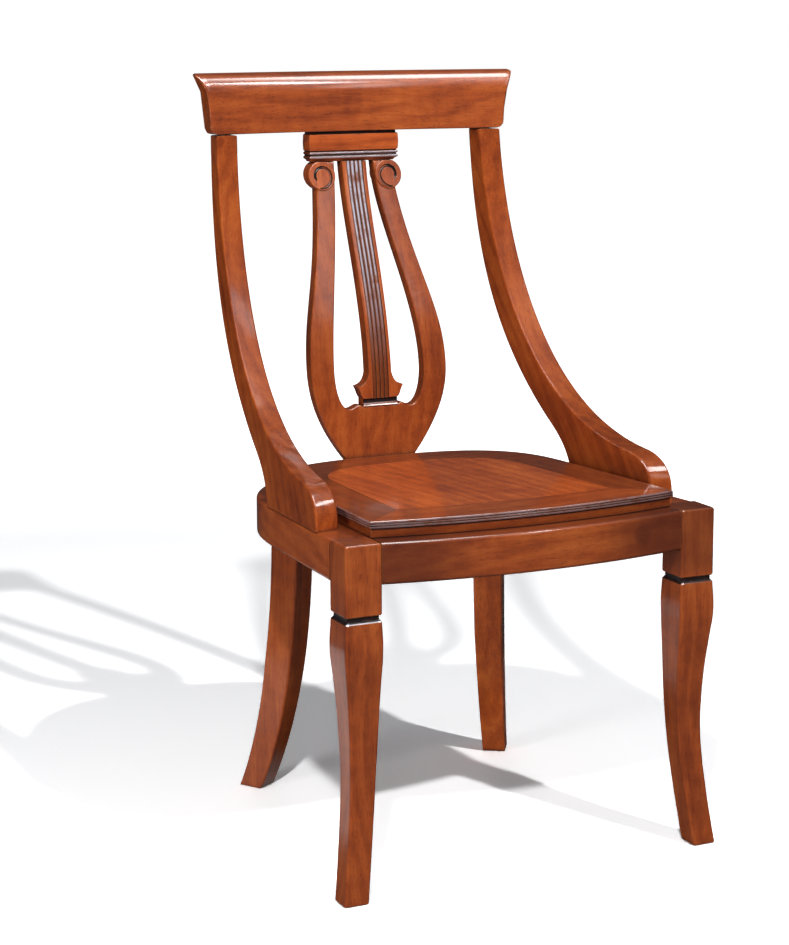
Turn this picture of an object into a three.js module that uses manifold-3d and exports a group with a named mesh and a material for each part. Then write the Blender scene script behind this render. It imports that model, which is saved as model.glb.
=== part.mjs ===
// Lyre back dining chair with a wooden seat, in millimetres.
// X runs to the right and left is the left side, both as seen from the front; Y runs to the back,
// Z up, and the floor is Z zero.
import * as THREE from 'three';
import Module from 'manifold-3d';
import { mergeVertices } from 'three/addons/utils/BufferGeometryUtils.js';

const wasm = await Module();
wasm.setup();

const mix = THREE.MathUtils.lerp;

// Clearance between pieces that touch on the real chair.
const fit = 0.3;
// Blocks used for cutting stand this far past the wood they cut.
const past = 4;
// Corners nearer to each other than this are one corner.
const weldDistance = 1e-4;

// Front legs: a square block above a black groove and a leg that curves out to the foot.
const legOuterX = 246.8;
const legFrontY = -229.2;
const legBlock = 46.5;
const legTopEase = 3;
const legArrisRadius = 3;
const legTopArrisRadius = 1;
const grooveTop = 345;
const grooveBottom = 337;
const grooveDepth = 3;
const grooveLip = 1.5;
const grooveBevel = 3.3;
const grooveArrisRadius = 1;
// Outer faces of the front leg, as [distance outside the block, height].
const legOutline = [
  [7.2, 0], [-1.1, 65], [-6.9, 125], [-8, 165], [-5.6, 225], [-1.8, 265], [1.5, 300], [0, 337],
];
// Inner faces of the front leg, as [distance inside the outer block face, height].
const legInside = [[24.3, 0], [32.6, 65], [39.2, 125], [43.3, 185], [45.4, 245], [47.4, 310], [46.5, 337]];

// The seat frame leans back by this share of its depth.
const rakeShare = 0.024;
const railTop = 430;
const railHeight = 50;
const railThick = 50;
const railEase = 4;
const railTaperShare = 0.0648;
// The side rails are straight up to here and then follow one curve round the back.
const bendY = 20;
const bendX = 233.4;
const railBackY = 250;
const railCurvePower = 2.6;
const frontRailThick = 38;
const frontRailInset = 1.5;
const frontRailBow = 24;
const tenonThick = 12;
const tenonHeight = 30;
const tenonLength = 18;
const sideTenonX = 228;
const splineLength = 36;
// Share of its depth at which the spline and the leg dowel stand in the rail.
const railMiddleShare = 0.5;
// Turn of the curve, in degrees, where side rail and back rail meet over the back leg.
const jointDegrees = 49;

// Back legs, set on the diagonal under the back corners.
const backLegDegrees = 57;
const backLegX = 150.6;
const backLegY = 148.5;
const backLegSweep = [[0, 376], [0, 250], [14, 110], [63.6, 0]];
const backLegDepth = [41.5, 42, 35.5];
const backLegWidth = [40.3, 38.5, 31.5];
const backLegArrisRadius = 2.5;
const backDowelTurnShare = 0.86;
const backDowelRise = 8;

// Lyre: a pierced board, bent in side view, with a column between its arms.
const lyreThick = 18;
const lyreStraightTop = 510;
const lyreProfile = [[211.6, 510], [211.6, 662], [298.1, 761], [298.1, 866]];
const lyreTenonHalf = 26;
const lyreTenonThick = 9;
const lyreTenonDepth = 22;
// Heights of the foot, of the column's seat, of the widest place and of the top.
const lyreFootZ = 419.7;
const lyreSeatZ = 508;
const lyreWideZ = 560;
const lyreTop = 829;
// Half widths of the outer and the inner edge, with shares of the height between two of those places.
const lyreOuterLowX = [36, 80, 99.4, 99.4];
const lyreOuterLowShares = [0, 0.366, 0.665, 1];
const lyreOuterHighX = [99.4, 99.4, 70.5, 57.5];
const lyreOuterHighShares = [0, 0.29, 0.431, 0.892];
const lyreInnerHighX = [28.8, 30, 65.3, 65.3];
const lyreInnerHighShares = [1, 0.688, 0.309, -0.007];
const lyreInnerLowX = [65.3, 65.3, 57, 45];
const lyreInnerLowShares = [0.964, 0.423, -0.038, -0.038];
// The little step beside the column, as [half width, rise above the column's seat].
const lyreSaddle = [[45, -2], [38, -2], [36, 3], [29, 2.5]];
const voluteX = 48.8;
const voluteDrop = 18;
const voluteRadius = 19.4;
const voluteProud = 2.2;
const spiralStartRadius = 17.2;
const spiralEndRadius = 10.5;
const spiralPower = 2.5;
const spiralWidth = 2.4;
const spiralDepth = 2.2;
const spiralFromDegrees = -105;
const spiralTurnDegrees = 320;
const columnHalf = 17.6;
const columnProud = 1.2;
const columnSunk = 1;
const columnNeckHalf = 25.5;
const columnNeckHeight = 11;
const columnBevelHeight = 4.5;
const columnNeckDepth = 3;
// Half widths and rises above the neck.
const columnHorn = [[25.5, 0], [29.5, 4], [29, 10], [33.5, 16]];
const columnHornTop = [[33.5, 16], [28, 17.5], [20, 18], [16.8, 34]];
const columnWaist = [16.4, 71];
const columnTenonHalf = 8;
const columnTenonHeight = 12;
const columnTenonSet = 3;
const reedCount = 4;
const reedPitch = 6;
const reedDepth = 2.4;
const reedSunk = 0.2;
const reedStepCount = 4;

// Capital between the lyre and the crest rail.
const capitalHalf = 65.4;
const capitalHeight = 40;
const capitalFrontY = 292.5;
const capitalThick = 24;
const capitalArrisRadius = 1;
// Levels of the capital, as [rise, inset of front and ends].
const capitalLevels = [
  [0, 5], [1.3, 4.6], [2.7, 3.4], [3.6, 1.4], [4.9, 0.3], [6.7, 0.8], [7.5, 2],
  [8.3, 0.8], [9.9, 0.3], [11.7, 0.8], [12.5, 2], [13.7, 0.6], [24.7, 0], [35.7, 0.6],
  [36.9, 1.4], [37.5, 3], [40, 3],
];
const capitalDowelLength = 36;
const capitalDowelSink = 12;

// Crest rail: its front face is hollow in plan.
const crestHalf = 213;
const crestBottom = lyreTop + capitalHeight + 2 * fit;
const crestHeight = 78.9;
const crestTop = crestBottom + crestHeight;
const crestEndY = 266.5;
const crestHollow = 22;
const crestThick = 30;
// The rolled top edge as [depth, drop] and the flared end as [reach past the half length, drop].
const crestRoll = [[0, 26.5], [0.5, 12.5], [8, 3], [23, 0]];
const crestFlare = [[0, 69.9], [1.2, 33.5], [4, 16.5], [19, 0]];
const crestBackRound = 6;
const crestFootEase = 2;
const crestFootRound = 9;
const crestTipRound = 4;

// Stiles: boards of even thickness that lean in towards the top and the back.
const stileThick = 30.3;
const stilePlaneX = 245.8;
const stileToeShare = 0.0648;
const stileLeanShare = 0.02532;
const stileTwistShare = 0.12;
const stileCrestGap = 1;
const stileTop = crestBottom - stileCrestGap;
const stileTopFrontY = 266;
const stileFootFrontY = -136.6;
const stileEase = 2.6;
const stileDowelY = { front: -88, back: 4 };
const stileCrestDowelY = 280;
// Shares of the depth from the foot's front to the top's, and of the height from the rail to the top.
const stileFrontShares = [[1, 1], [0.963, 0.5905], [0.704, 0.16], [0.138, 0.112]];
const stileNoseShares = [[0.138, 0.112], [0.076, 0.107], [0, 0.084], [0, 0.007]];
const stileBackShares = [[1.074, 1], [1.055, 0.657], [0.959, 0.367], [0.577, 0.127]];
const stileHeelShares = [[0.577, 0.127], [0.523, 0.0935], [0.4685, 0.05], [0.4605, -0.0137]];
const stileFootBackY = mix(stileFootFrontY, stileTopFrontY, stileHeelShares[3][0]);

// Seat: veneered board with a reeded edge on a plain plinth.
const seatBead = 2.9;
const seatBeadDepth = 1;
const seatBeadCount = 3;
const plinthTop = 441.8;
const plinthInset = 2;
const seatCornerX = 204;
const seatCornerY = -202;
const seatBow = 24;
const seatTaperShare = 0.045;
const seatBendY = 40;
const seatBackY = 209.5;
const seatCurvePower = 3;
const bandCornerX = 145.5;
const bandCornerY = -149;
const bandBow = 14;
const bandBackY = 153;
const bandJointY = 60;

// Corner blocks and fixings.
const blockHeight = 34;
const blockDrop = 6;
const blockReachX = 68;
const blockReachY = 68;
const backBlockSpreadDegrees = 17;
const backBlockDepth = 27;
const dowelRadius = 5;
const dowelDepth = 24;
const smallDowelRadius = 3;
const smallDowelDepth = 10;
const screwRadius = 2.2;
const screwHeadRadius = 4.2;
const screwHead = 2.5;
const screwTip = 5;
const screwLength = 44;
const screwSink = 5.5;
const screwBore = 16;
// Where the block screws stand: in from the front rail's end, and back from the front leg.
const frontScrewX = 50;
const frontScrewY = 42;
const backScrewShares = [-0.62, 0.62];
const seatScrewX = 30;
const seatScrewY = 22;
const seatScrewLength = 46;

// Colours of the stained wood and the black glaze.
const cherry = 0x8a3d1e;
const darkCherry = 0x6f2f18;
const paleWood = 0xb48a5a;
const steel = 0x9a9a98;

const radians = (degrees) => THREE.MathUtils.degToRad(degrees);
// Turn over which the direction of a curved rail is read.
const turnStepDegrees = 0.5;
const signs = [['left', -1], ['right', 1]];

// Measuring helpers.
const bezierStep = (points, t) => {
  const [a, b, c, d] = points.map((p) => new THREE.Vector2(...p));
  return new THREE.CubicBezierCurve(a, b, c, d).getPoint(t);
};
const bezier = (points, steps) => Array.from(
  { length: steps + 1 }, (_, i) => bezierStep(points, i / steps),
);

// Points of a curve from half widths and shares of the height between two places.
const between = (xs, shares, low, high) => xs.map((x, i) => [x, mix(low, high, shares[i])]);
// Points of a curve from [x, rise] pairs above a height.
const above = (base, pairs) => pairs.map(([x, rise]) => [x, base + rise]);

// A spline through [value, height] pairs, read as value at a height.
function alongHeight(pairs) {
  const curve = new THREE.SplineCurve(pairs.map((p) => new THREE.Vector2(...p)));
  return (height) => {
    let low = 0;
    let high = 1;
    for (let i = 0; i < 30; i += 1) {
      const mid = (low + high) / 2;
      if (curve.getPoint(mid).y < height) low = mid;
      else high = mid;
    }
    return curve.getPoint((low + high) / 2).x;
  };
}

// Value of a Bezier curve at a height, for curves whose height only rises or only falls.
function bezierAtHeight(points, height) {
  const rising = points[3][1] > points[0][1];
  let low = 0;
  let high = 1;
  for (let i = 0; i < 30; i += 1) {
    const mid = (low + high) / 2;
    if ((bezierStep(points, mid).y < height) === rising) low = mid;
    else high = mid;
  }
  return bezierStep(points, (low + high) / 2).x;
}

// A closed solid through loops of points; every loop has the same number of corners.
function loft(loops) {
  const count = loops[0].length;
  const flat = [];
  const index = [];
  loops.forEach((loop) => loop.forEach((p) => flat.push(p.x, p.y, p.z)));
  for (let j = 0; j + 1 < loops.length; j += 1) {
    for (let i = 0; i < count; i += 1) {
      const next = (i + 1) % count;
      const a = j * count + i;
      const b = j * count + next;
      index.push(a, b, b + count, a, b + count, a + count);
    }
  }
  [0, loops.length - 1].forEach((j) => {
    const loop = loops[j];
    const origin = loop[0];
    const normal = new THREE.Vector3();
    for (let i = 0; i < count; i += 1) {
      const p = loop[i];
      const q = loop[(i + 1) % count];
      normal.x += (p.y - q.y) * (p.z + q.z);
      normal.y += (p.z - q.z) * (p.x + q.x);
      normal.z += (p.x - q.x) * (p.y + q.y);
    }
    normal.normalize();
    const u = new THREE.Vector3(1, 0, 0);
    if (Math.abs(normal.x) > Math.abs(normal.z)) u.set(0, 1, 0);
    u.addScaledVector(normal, -u.dot(normal)).normalize();
    const v = new THREE.Vector3().crossVectors(normal, u);
    const outline = loop.map((p) => {
      const d = p.clone().sub(origin);
      return new THREE.Vector2(d.dot(u), d.dot(v));
    });
    THREE.ShapeUtils.triangulateShape(outline, []).forEach(([a, b, c]) => {
      const base = j * count;
      if (j === 0) index.push(base + a, base + c, base + b);
      else index.push(base + a, base + b, base + c);
    });
  });
  const geometry = new THREE.BufferGeometry();
  geometry.setAttribute('position', new THREE.Float32BufferAttribute(flat, 3));
  geometry.setIndex(index);
  return geometry;
}

// Booleans.
function solid(source) {
  let geometry = source.clone();
  geometry.deleteAttribute('normal');
  geometry.deleteAttribute('uv');
  geometry = mergeVertices(geometry, weldDistance);
  let volume = 0;
  const p = geometry.attributes.position;
  const order = Array.from(geometry.index.array);
  for (let i = 0; i < order.length; i += 3) {
    const [a, b, c] = [0, 1, 2].map((k) => new THREE.Vector3().fromBufferAttribute(p, order[i + k]));
    volume += a.dot(b.cross(c));
  }
  if (volume < 0) {
    for (let i = 0; i < order.length; i += 3) {
      const keep = order[i];
      order[i] = order[i + 1];
      order[i + 1] = keep;
    }
  }
  return new wasm.Manifold(new wasm.Mesh({
    numProp: 3,
    vertProperties: new Float32Array(p.array),
    triVerts: new Uint32Array(order),
  }));
}

function toGeometry(manifold) {
  const mesh = manifold.getMesh();
  const geometry = new THREE.BufferGeometry();
  geometry.setAttribute('position', new THREE.BufferAttribute(new Float32Array(mesh.vertProperties), 3));
  geometry.setIndex(new THREE.BufferAttribute(new Uint32Array(mesh.triVerts), 1));
  return geometry;
}

const cutAll = (body, tools) => tools.reduce((left, tool) => left.subtract(tool), body);

function box(minX, maxX, minY, maxY, minZ, maxZ) {
  const geometry = new THREE.BoxGeometry(maxX - minX, maxY - minY, maxZ - minZ);
  geometry.translate((minX + maxX) / 2, (minY + maxY) / 2, (minZ + maxZ) / 2);
  return geometry;
}

// A round pin from one point to another.
function pin(from, to, radius, sides = 16) {
  const axis = new THREE.Vector3().subVectors(to, from);
  const geometry = new THREE.CylinderGeometry(radius, radius, axis.length(), sides);
  const turn = new THREE.Quaternion().setFromUnitVectors(
    new THREE.Vector3(0, 1, 0), axis.clone().normalize(),
  );
  geometry.applyQuaternion(turn);
  geometry.translate((from.x + to.x) / 2, (from.y + to.y) / 2, (from.z + to.z) / 2);
  return geometry;
}

// A flat outline in the XZ plane, extruded along Y.
function frontPlate(points, minY, maxY) {
  const shape = new THREE.Shape(points.map((p) => new THREE.Vector2(p.x, p.y)));
  const geometry = new THREE.ExtrudeGeometry(shape, { depth: maxY - minY, bevelEnabled: false });
  geometry.rotateX(Math.PI / 2);
  geometry.translate(0, maxY, 0);
  return geometry;
}

// A plan outline extruded upwards.
function planPlate(points, minZ, maxZ) {
  const shape = new THREE.Shape(points.map((p) => new THREE.Vector2(p.x, p.y)));
  const geometry = new THREE.ExtrudeGeometry(shape, { depth: maxZ - minZ, bevelEnabled: false });
  geometry.translate(0, 0, minZ);
  return geometry;
}

const mirrored = (points) => points.map((p) => new THREE.Vector2(-p.x, p.y)).reverse();

function mirrorX(geometry) {
  const copy = geometry.clone();
  copy.scale(-1, 1, 1);
  return copy;
}

// Everything in the seat frame drops towards the back.
const drop = (y) => rakeShare * (y - legFrontY);

function rake(geometry) {
  const p = geometry.attributes.position;
  for (let i = 0; i < p.count; i += 1) p.setZ(i, p.getZ(i) - drop(p.getY(i)));
  return geometry;
}

// A rectangle with eased corners, counter-clockwise.
function easedRectangle(minX, maxX, minY, maxY, ease, place) {
  const bend = ease * (1 - Math.SQRT1_2);
  const corners = [
    [maxX, minY, -1, 0, 0, 1], [maxX, maxY, 0, -1, -1, 0],
    [minX, maxY, 1, 0, 0, -1], [minX, minY, 0, 1, 1, 0],
  ];
  const points = [];
  corners.forEach(([x, y, inX, inY, outX, outY]) => {
    points.push(place(x + inX * ease, y + inY * ease));
    points.push(place(x + (inX + outX) * bend, y + (inY + outY) * bend));
    points.push(place(x + outX * ease, y + outY * ease));
  });
  return points;
}

const wood = { color: cherry, roughness: 0.28, metalness: 0 };
const darkWood = { color: darkCherry, roughness: 0.35, metalness: 0 };
const bareWood = { color: paleWood, roughness: 0.75, metalness: 0 };
const metal = { color: steel, roughness: 0.35, metalness: 0.9 };

// Side rail outline: a straight run and then one curve to the middle of the back.
const railHalf = (y) => bendX - railTaperShare * (y - bendY);

function railPoint(turn) {
  const power = 2 / railCurvePower;
  const y = bendY + (railBackY - bendY) * Math.max(Math.sin(turn), 0) ** power;
  return new THREE.Vector2(railHalf(y) * Math.max(Math.cos(turn), 0) ** power, y);
}

function railNormal(turn) {
  const step = radians(turnStepDegrees);
  const a = railPoint(Math.max(turn - step, 0));
  const b = railPoint(Math.min(turn + step, Math.PI / 2));
  const along = b.sub(a).normalize();
  return new THREE.Vector2(-along.y, along.x);
}

// One cross-section of a side or back rail: eased outside, square inside.
function railSection(point, inward, low, high) {
  const near = (depth, z) => new THREE.Vector3(
    point.x + inward.x * depth, point.y + inward.y * depth, z,
  );
  const bend = railEase * (1 - Math.SQRT1_2);
  return [
    near(railThick, low), near(railThick, high),
    near(railEase, high), near(bend, high - bend), near(0, high - railEase),
    near(0, low + railEase), near(bend, low + bend), near(railEase, low),
  ];
}

const railLow = railTop - railHeight;
const railFrontY = legFrontY + legBlock + fit;
const jointTurn = radians(jointDegrees);
const sideTurnShares = [0, 0.12, 0.26, 0.4, 0.54, 0.68, 0.84];
const sideTurns = sideTurnShares.map((share) => share * jointTurn);

// The joint keeps its clearance by stopping each rail half of it short.
function jointStep(direction) {
  const a = railPoint(jointTurn);
  const n = railNormal(jointTurn);
  const along = new THREE.Vector2(n.y, -n.x).multiplyScalar(direction * fit / 2);
  return [a.add(along), n];
}

function sideRail(sign) {
  const loops = [];
  const straight = new THREE.Vector2(-1, 0);
  loops.push(railSection(new THREE.Vector2(railHalf(railFrontY), railFrontY), straight, railLow, railTop));
  sideTurns.forEach((turn, i) => {
    const inward = i === 0 ? straight : railNormal(turn);
    loops.push(railSection(railPoint(turn), inward, railLow, railTop));
  });
  const [end, inward] = jointStep(-1);
  loops.push(railSection(end, inward, railLow, railTop));
  const tenon = solid(box(
    sideTenonX - tenonThick / 2, sideTenonX + tenonThick / 2,
    railFrontY - tenonLength, railFrontY + tenonLength,
    railLow + (railHeight - tenonHeight) / 2, railLow + (railHeight + tenonHeight) / 2,
  ));
  const body = toGeometry(solid(loft(loops)).add(tenon));
  rake(body);
  return cutAll(solid(sign > 0 ? body : mirrorX(body)), [railSpline(sign, fit)]);
}

const backTurnShares = [0.2, 0.4, 0.6, 0.8];
const backTurns = backTurnShares.map((share) => mix(jointTurn, Math.PI / 2, share));

function backRail() {
  const half = [];
  const [start, inward] = jointStep(1);
  half.push(railSection(start, inward, railLow, railTop));
  backTurns.forEach((turn) => half.push(railSection(railPoint(turn), railNormal(turn), railLow, railTop)));
  const middle = railSection(
    new THREE.Vector2(0, railBackY), new THREE.Vector2(0, -1), railLow, railTop,
  );
  const other = half.map((loop) => loop.map((p) => new THREE.Vector3(-p.x, p.y, p.z))).reverse();
  const slots = signs.map(([, sign]) => railSpline(sign, fit));
  return cutAll(solid(rake(loft([...half, middle, ...other]))), [...slots, lyreTenon(fit)]);
}

// The tenon under the lyre, or the mortise for it when it is grown by the clearance.
function lyreTenon(grow) {
  const front = lyreProfile[0][0] + (lyreThick - lyreTenonThick) / 2;
  const top = lyreFootZ;
  return solid(box(
    -lyreTenonHalf - grow, lyreTenonHalf + grow, front - grow, front + lyreTenonThick + grow,
    top - lyreTenonDepth - grow, top + past,
  ));
}

// The loose tenon that holds side rail and back rail together.
function railSpline(sign, grow) {
  const at = railPoint(jointTurn);
  const inward = railNormal(jointTurn);
  const geometry = box(
    -splineLength / 2 - grow, splineLength / 2 + grow,
    railThick * railMiddleShare - tenonThick / 2 - grow,
    railThick * railMiddleShare + tenonThick / 2 + grow,
    railLow + (railHeight - tenonHeight) / 2 - grow, railLow + (railHeight + tenonHeight) / 2 + grow,
  );
  const basis = new THREE.Matrix4().makeBasis(
    new THREE.Vector3(inward.y, -inward.x, 0), new THREE.Vector3(inward.x, inward.y, 0),
    new THREE.Vector3(0, 0, 1),
  );
  basis.setPosition(at.x, at.y, 0);
  geometry.applyMatrix4(basis);
  rake(geometry);
  return solid(sign > 0 ? geometry : mirrorX(geometry));
}

// Front rail: bowed forwards between the leg blocks.
const frontHalf = legOuterX - legBlock;
const bowAt = (x, bow, half) => bow * (1 - (x / half) ** 2);
const frontRailY = (x) => legFrontY + frontRailInset - bowAt(x, frontRailBow, frontHalf);
const frontStations = 14;

function frontRail() {
  const loops = [];
  const bend = railEase * (1 - Math.SQRT1_2);
  for (let i = 0; i <= frontStations; i += 1) {
    const x = mix(-(frontHalf - fit), frontHalf - fit, i / frontStations);
    const y = frontRailY(x);
    loops.push([
      [frontRailThick, railLow], [frontRailThick, railTop], [railEase, railTop],
      [bend, railTop - bend], [0, railTop - railEase], [0, railLow + railEase],
      [bend, railLow + bend], [railEase, railLow],
    ].map(([depth, z]) => new THREE.Vector3(x, y + depth, z)));
  }
  const middle = legFrontY + frontRailInset + frontRailThick / 2;
  const tenons = signs.map(([, sign]) => {
    const inner = sign * (frontHalf - tenonLength);
    const outer = sign * (frontHalf - fit + tenonLength);
    return solid(box(
      Math.min(inner, outer), Math.max(inner, outer), middle - tenonThick / 2, middle + tenonThick / 2,
      railLow + (railHeight - tenonHeight) / 2, railLow + (railHeight + tenonHeight) / 2,
    ));
  });
  const body = tenons.reduce((all, tenon) => all.add(tenon), solid(loft(loops)));
  return solid(rake(toGeometry(body)));
}

// Mortises for the rails' tenons in a front leg.
function legMortises(sign) {
  const middle = legFrontY + frontRailInset + frontRailThick / 2;
  const low = railLow + (railHeight - tenonHeight) / 2 - fit;
  const high = railLow + (railHeight + tenonHeight) / 2 + fit;
  const front = box(
    frontHalf - past, frontHalf + tenonLength, middle - tenonThick / 2 - fit,
    middle + tenonThick / 2 + fit, low, high,
  );
  const side = box(
    sideTenonX - tenonThick / 2 - fit, sideTenonX + tenonThick / 2 + fit,
    railFrontY - tenonLength - fit, railFrontY + past, low, high,
  );
  return [front, side].map((cutter) => {
    rake(cutter);
    return solid(sign > 0 ? cutter : mirrorX(cutter));
  });
}

// Front leg, drawn for the right side.
function frontLeg(sign) {
  const outer = alongHeight(legOutline);
  const inner = alongHeight(legInside);
  const levels = [];
  const steps = 17;
  for (let i = 0; i <= steps; i += 1) {
    const z = mix(0, grooveBottom, i / steps);
    const last = i === steps ? 0 : outer(z);
    levels.push([z, last, i === steps ? legBlock : inner(z), legArrisRadius]);
  }
  levels.push([grooveBottom + grooveBevel, -grooveDepth, legBlock - grooveDepth, grooveArrisRadius]);
  levels.push([grooveTop, -grooveDepth, legBlock - grooveDepth, grooveArrisRadius]);
  levels.push([grooveTop, -grooveLip, legBlock - grooveLip, grooveArrisRadius]);
  levels.push([grooveTop + grooveLip, 0, legBlock, legArrisRadius]);
  levels.push([railTop - legTopEase, 0, legBlock, legArrisRadius]);
  levels.push([railTop, -legTopEase, legBlock - legTopEase, legTopArrisRadius]);
  const loops = levels.map(([z, out, inside, arris]) => easedRectangle(
    legOuterX - inside, legOuterX + out, legFrontY - out, legFrontY + inside, arris,
    (x, y) => new THREE.Vector3(x, y, z),
  ));
  const body = solid(loft(loops));
  return cutAll(sign > 0 ? body : solid(mirrorX(toGeometry(body))), legMortises(sign));
}

// Back leg: every section is a turned rectangle; the top follows the leaning rail.
function backLeg(sign) {
  const angle = radians(backLegDegrees);
  const back = new THREE.Vector2(Math.cos(angle), Math.sin(angle));
  const side = new THREE.Vector2(-Math.sin(angle), Math.cos(angle));
  const steps = 16;
  const sizes = (list, share) => (share < 0.5
    ? mix(list[2], list[1], share * 2) : mix(list[1], list[0], share * 2 - 1));
  const loops = [];
  for (let i = 0; i <= steps; i += 1) {
    const level = mix(0, backLegSweep[0][1], i / steps);
    const sweep = bezierAtHeight(backLegSweep, level);
    const depth = sizes(backLegDepth, i / steps);
    const width = sizes(backLegWidth, i / steps);
    loops.push(easedRectangle(0, depth, 0, width, backLegArrisRadius, (a, b) => {
      const x = backLegX + back.x * (sweep + a) + side.x * b;
      const y = backLegY + back.y * (sweep + a) + side.y * b;
      const z = i === steps ? railLow - drop(y) - fit : level * (railLow - drop(y)) / backLegSweep[0][1];
      return new THREE.Vector3(x, y, i === 0 ? 0 : z);
    }));
  }
  return solid(sign > 0 ? loft(loops) : mirrorX(loft(loops)));
}

// Stile: a sawn side profile, sheared so that it leans and toes in.
function stileMatrix(sign) {
  const m = new THREE.Matrix4();
  m.set(
    -sign, -sign * stileToeShare, -sign * stileLeanShare, sign * stilePlaneX,
    stileTwistShare, 1, 0, 0,
    0, 0, 1, 0,
    0, 0, 0, 1,
  );
  return m;
}

function stile(sign) {
  const underRail = railTop - drop(stileFootBackY) - past;
  const curve = (shares, steps) => bezier(shares.map(([depth, rise]) => [
    mix(stileFootFrontY, stileTopFrontY, depth), mix(railTop, stileTop, rise),
  ]), steps);
  const points = [
    ...curve(stileFrontShares, 16), ...curve(stileNoseShares, 7).slice(1),
    new THREE.Vector2(stileFootFrontY, underRail),
    new THREE.Vector2(stileFootBackY, underRail),
    ...curve(stileHeelShares, 5).slice(0, -1).reverse(),
    ...curve(stileBackShares, 14).slice(0, -1).reverse(),
  ];
  const shape = new THREE.Shape(points);
  const geometry = new THREE.ExtrudeGeometry(shape, {
    depth: stileThick - 2 * stileEase,
    bevelEnabled: true,
    bevelThickness: stileEase,
    bevelSize: stileEase,
    bevelOffset: -stileEase,
    bevelSegments: 2,
  });
  geometry.translate(0, 0, stileEase);
  // The shape's X is the chair's Y, its Y is the height, its depth runs inwards.
  const swap = new THREE.Matrix4().set(0, 0, 1, 0, 1, 0, 0, 0, 0, 1, 0, 0, 0, 0, 0, 1);
  geometry.applyMatrix4(swap);
  geometry.applyMatrix4(stileMatrix(sign));
  // The foot is sawn to the leaning top of the rail.
  const below = rake(box(
    -stilePlaneX - stileThick, stilePlaneX + stileThick, stileFootFrontY - stileThick,
    stileFootBackY + stileThick, railLow - past, railTop + fit,
  ));
  return cutAll(solid(geometry), [solid(below)]);
}

// A place inside a stile: depth from its outer face, distance to the back and height.
const inStile = (sign, depth, y, z) => new THREE.Vector3(depth, y, z).applyMatrix4(stileMatrix(sign));

// Crest rail: one profile swept round a large circle, trimmed to its flared ends.
const crestRadius = (crestHalf ** 2 + crestHollow ** 2) / (2 * crestHollow);
const crestCentreY = crestEndY + crestHollow - crestRadius;
const crestFrontY = (x) => crestCentreY + Math.sqrt(crestRadius ** 2 - x ** 2);

function crestRail() {
  const round = crestBackRound;
  const bend = round * (1 - Math.SQRT1_2);
  const front = bezier(crestRoll.map(([depth, below]) => [depth, crestTop - below]), 6);
  const profile = [
    new THREE.Vector2(crestFootEase, crestBottom), new THREE.Vector2(0, crestBottom + crestFootEase),
    ...front,
    new THREE.Vector2(crestThick - bend, crestTop - bend),
    new THREE.Vector2(crestThick, crestTop - round),
    new THREE.Vector2(crestThick, crestBottom + crestFootEase),
    new THREE.Vector2(crestThick - crestFootEase, crestBottom),
  ];
  const reach = Math.asin((crestHalf + crestFlare[3][0] + past) / crestRadius);
  const stations = 14;
  const loops = [];
  for (let i = 0; i <= stations; i += 1) {
    const angle = mix(-reach, reach, i / stations);
    loops.push(profile.map((p) => new THREE.Vector3(
      (crestRadius + p.x) * Math.sin(angle), crestCentreY + (crestRadius + p.x) * Math.cos(angle), p.y,
    )));
  }
  const tip = bezier(crestFlare.map(([out, below]) => [crestHalf + out, crestTop - below]), 10);
  const end = tip[tip.length - 1];
  tip[tip.length - 1] = new THREE.Vector2(end.x - crestTipRound / 2, end.y - crestTipRound);
  const footBend = crestFootRound * (1 - Math.SQRT1_2);
  const half = [
    new THREE.Vector2(crestHalf - crestFootRound, crestBottom - past),
    new THREE.Vector2(crestHalf - crestFootRound, crestBottom),
    new THREE.Vector2(crestHalf - footBend, crestBottom + footBend),
    ...tip,
    new THREE.Vector2(end.x - crestTipRound / 2, end.y - crestTipRound / 2),
    new THREE.Vector2(end.x - crestTipRound, end.y),
    new THREE.Vector2(end.x - crestTipRound, end.y + past),
  ];
  const outline = frontPlate(
    [...half, ...mirrored(half)], crestEndY - crestThick, crestFrontY(0) + crestThick + past,
  );
  return solid(loft(loops)).intersect(solid(outline));
}

const voluteZ = lyreTop - voluteDrop;
const columnNeckTop = lyreSeatZ + columnNeckHeight;
const columnBevelZ = lyreSeatZ + columnBevelHeight;
const lyreOuterLow = between(lyreOuterLowX, lyreOuterLowShares, lyreFootZ, lyreWideZ);
const lyreOuterHigh = between(lyreOuterHighX, lyreOuterHighShares, lyreWideZ, lyreTop);
const lyreInnerHigh = between(lyreInnerHighX, lyreInnerHighShares, lyreWideZ, lyreTop);
const lyreInnerLow = between(lyreInnerLowX, lyreInnerLowShares, lyreSeatZ, lyreWideZ);

// The bent slab that lyre board and column are sawn from.
const lyreFrontY = (z) => (z < lyreStraightTop ? lyreProfile[0][0] : bezierAtHeight(lyreProfile, z));

function lyreSlab(front, back, low, high) {
  const curve = bezier(lyreProfile, 16).filter((p) => p.y > low && p.y < high);
  const line = [
    new THREE.Vector2(lyreFrontY(low), low), ...curve, new THREE.Vector2(lyreFrontY(high), high),
  ];
  const points = [
    ...line.map((p) => new THREE.Vector2(p.x + front, p.y)),
    ...line.map((p) => new THREE.Vector2(p.x + back, p.y)).reverse(),
  ];
  const shape = new THREE.Shape(points);
  const width = lyreOuterLowX[3] + past;
  const geometry = new THREE.ExtrudeGeometry(shape, { depth: 2 * width, bevelEnabled: false });
  const swap = new THREE.Matrix4().set(0, 0, 1, -width, 1, 0, 0, 0, 0, 1, 0, 0, 0, 0, 0, 1);
  geometry.applyMatrix4(swap);
  return solid(geometry);
}

// A cutter that follows a path across the front of a board; its section is [across, deep] pairs.
function channel(path, section) {
  return solid(loft(path.map(([point, across]) => section.map(([side, deep]) => new THREE.Vector3(
    point.x + across.x * side, point.y + deep, point.z + across.z * side,
  )))));
}

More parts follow.
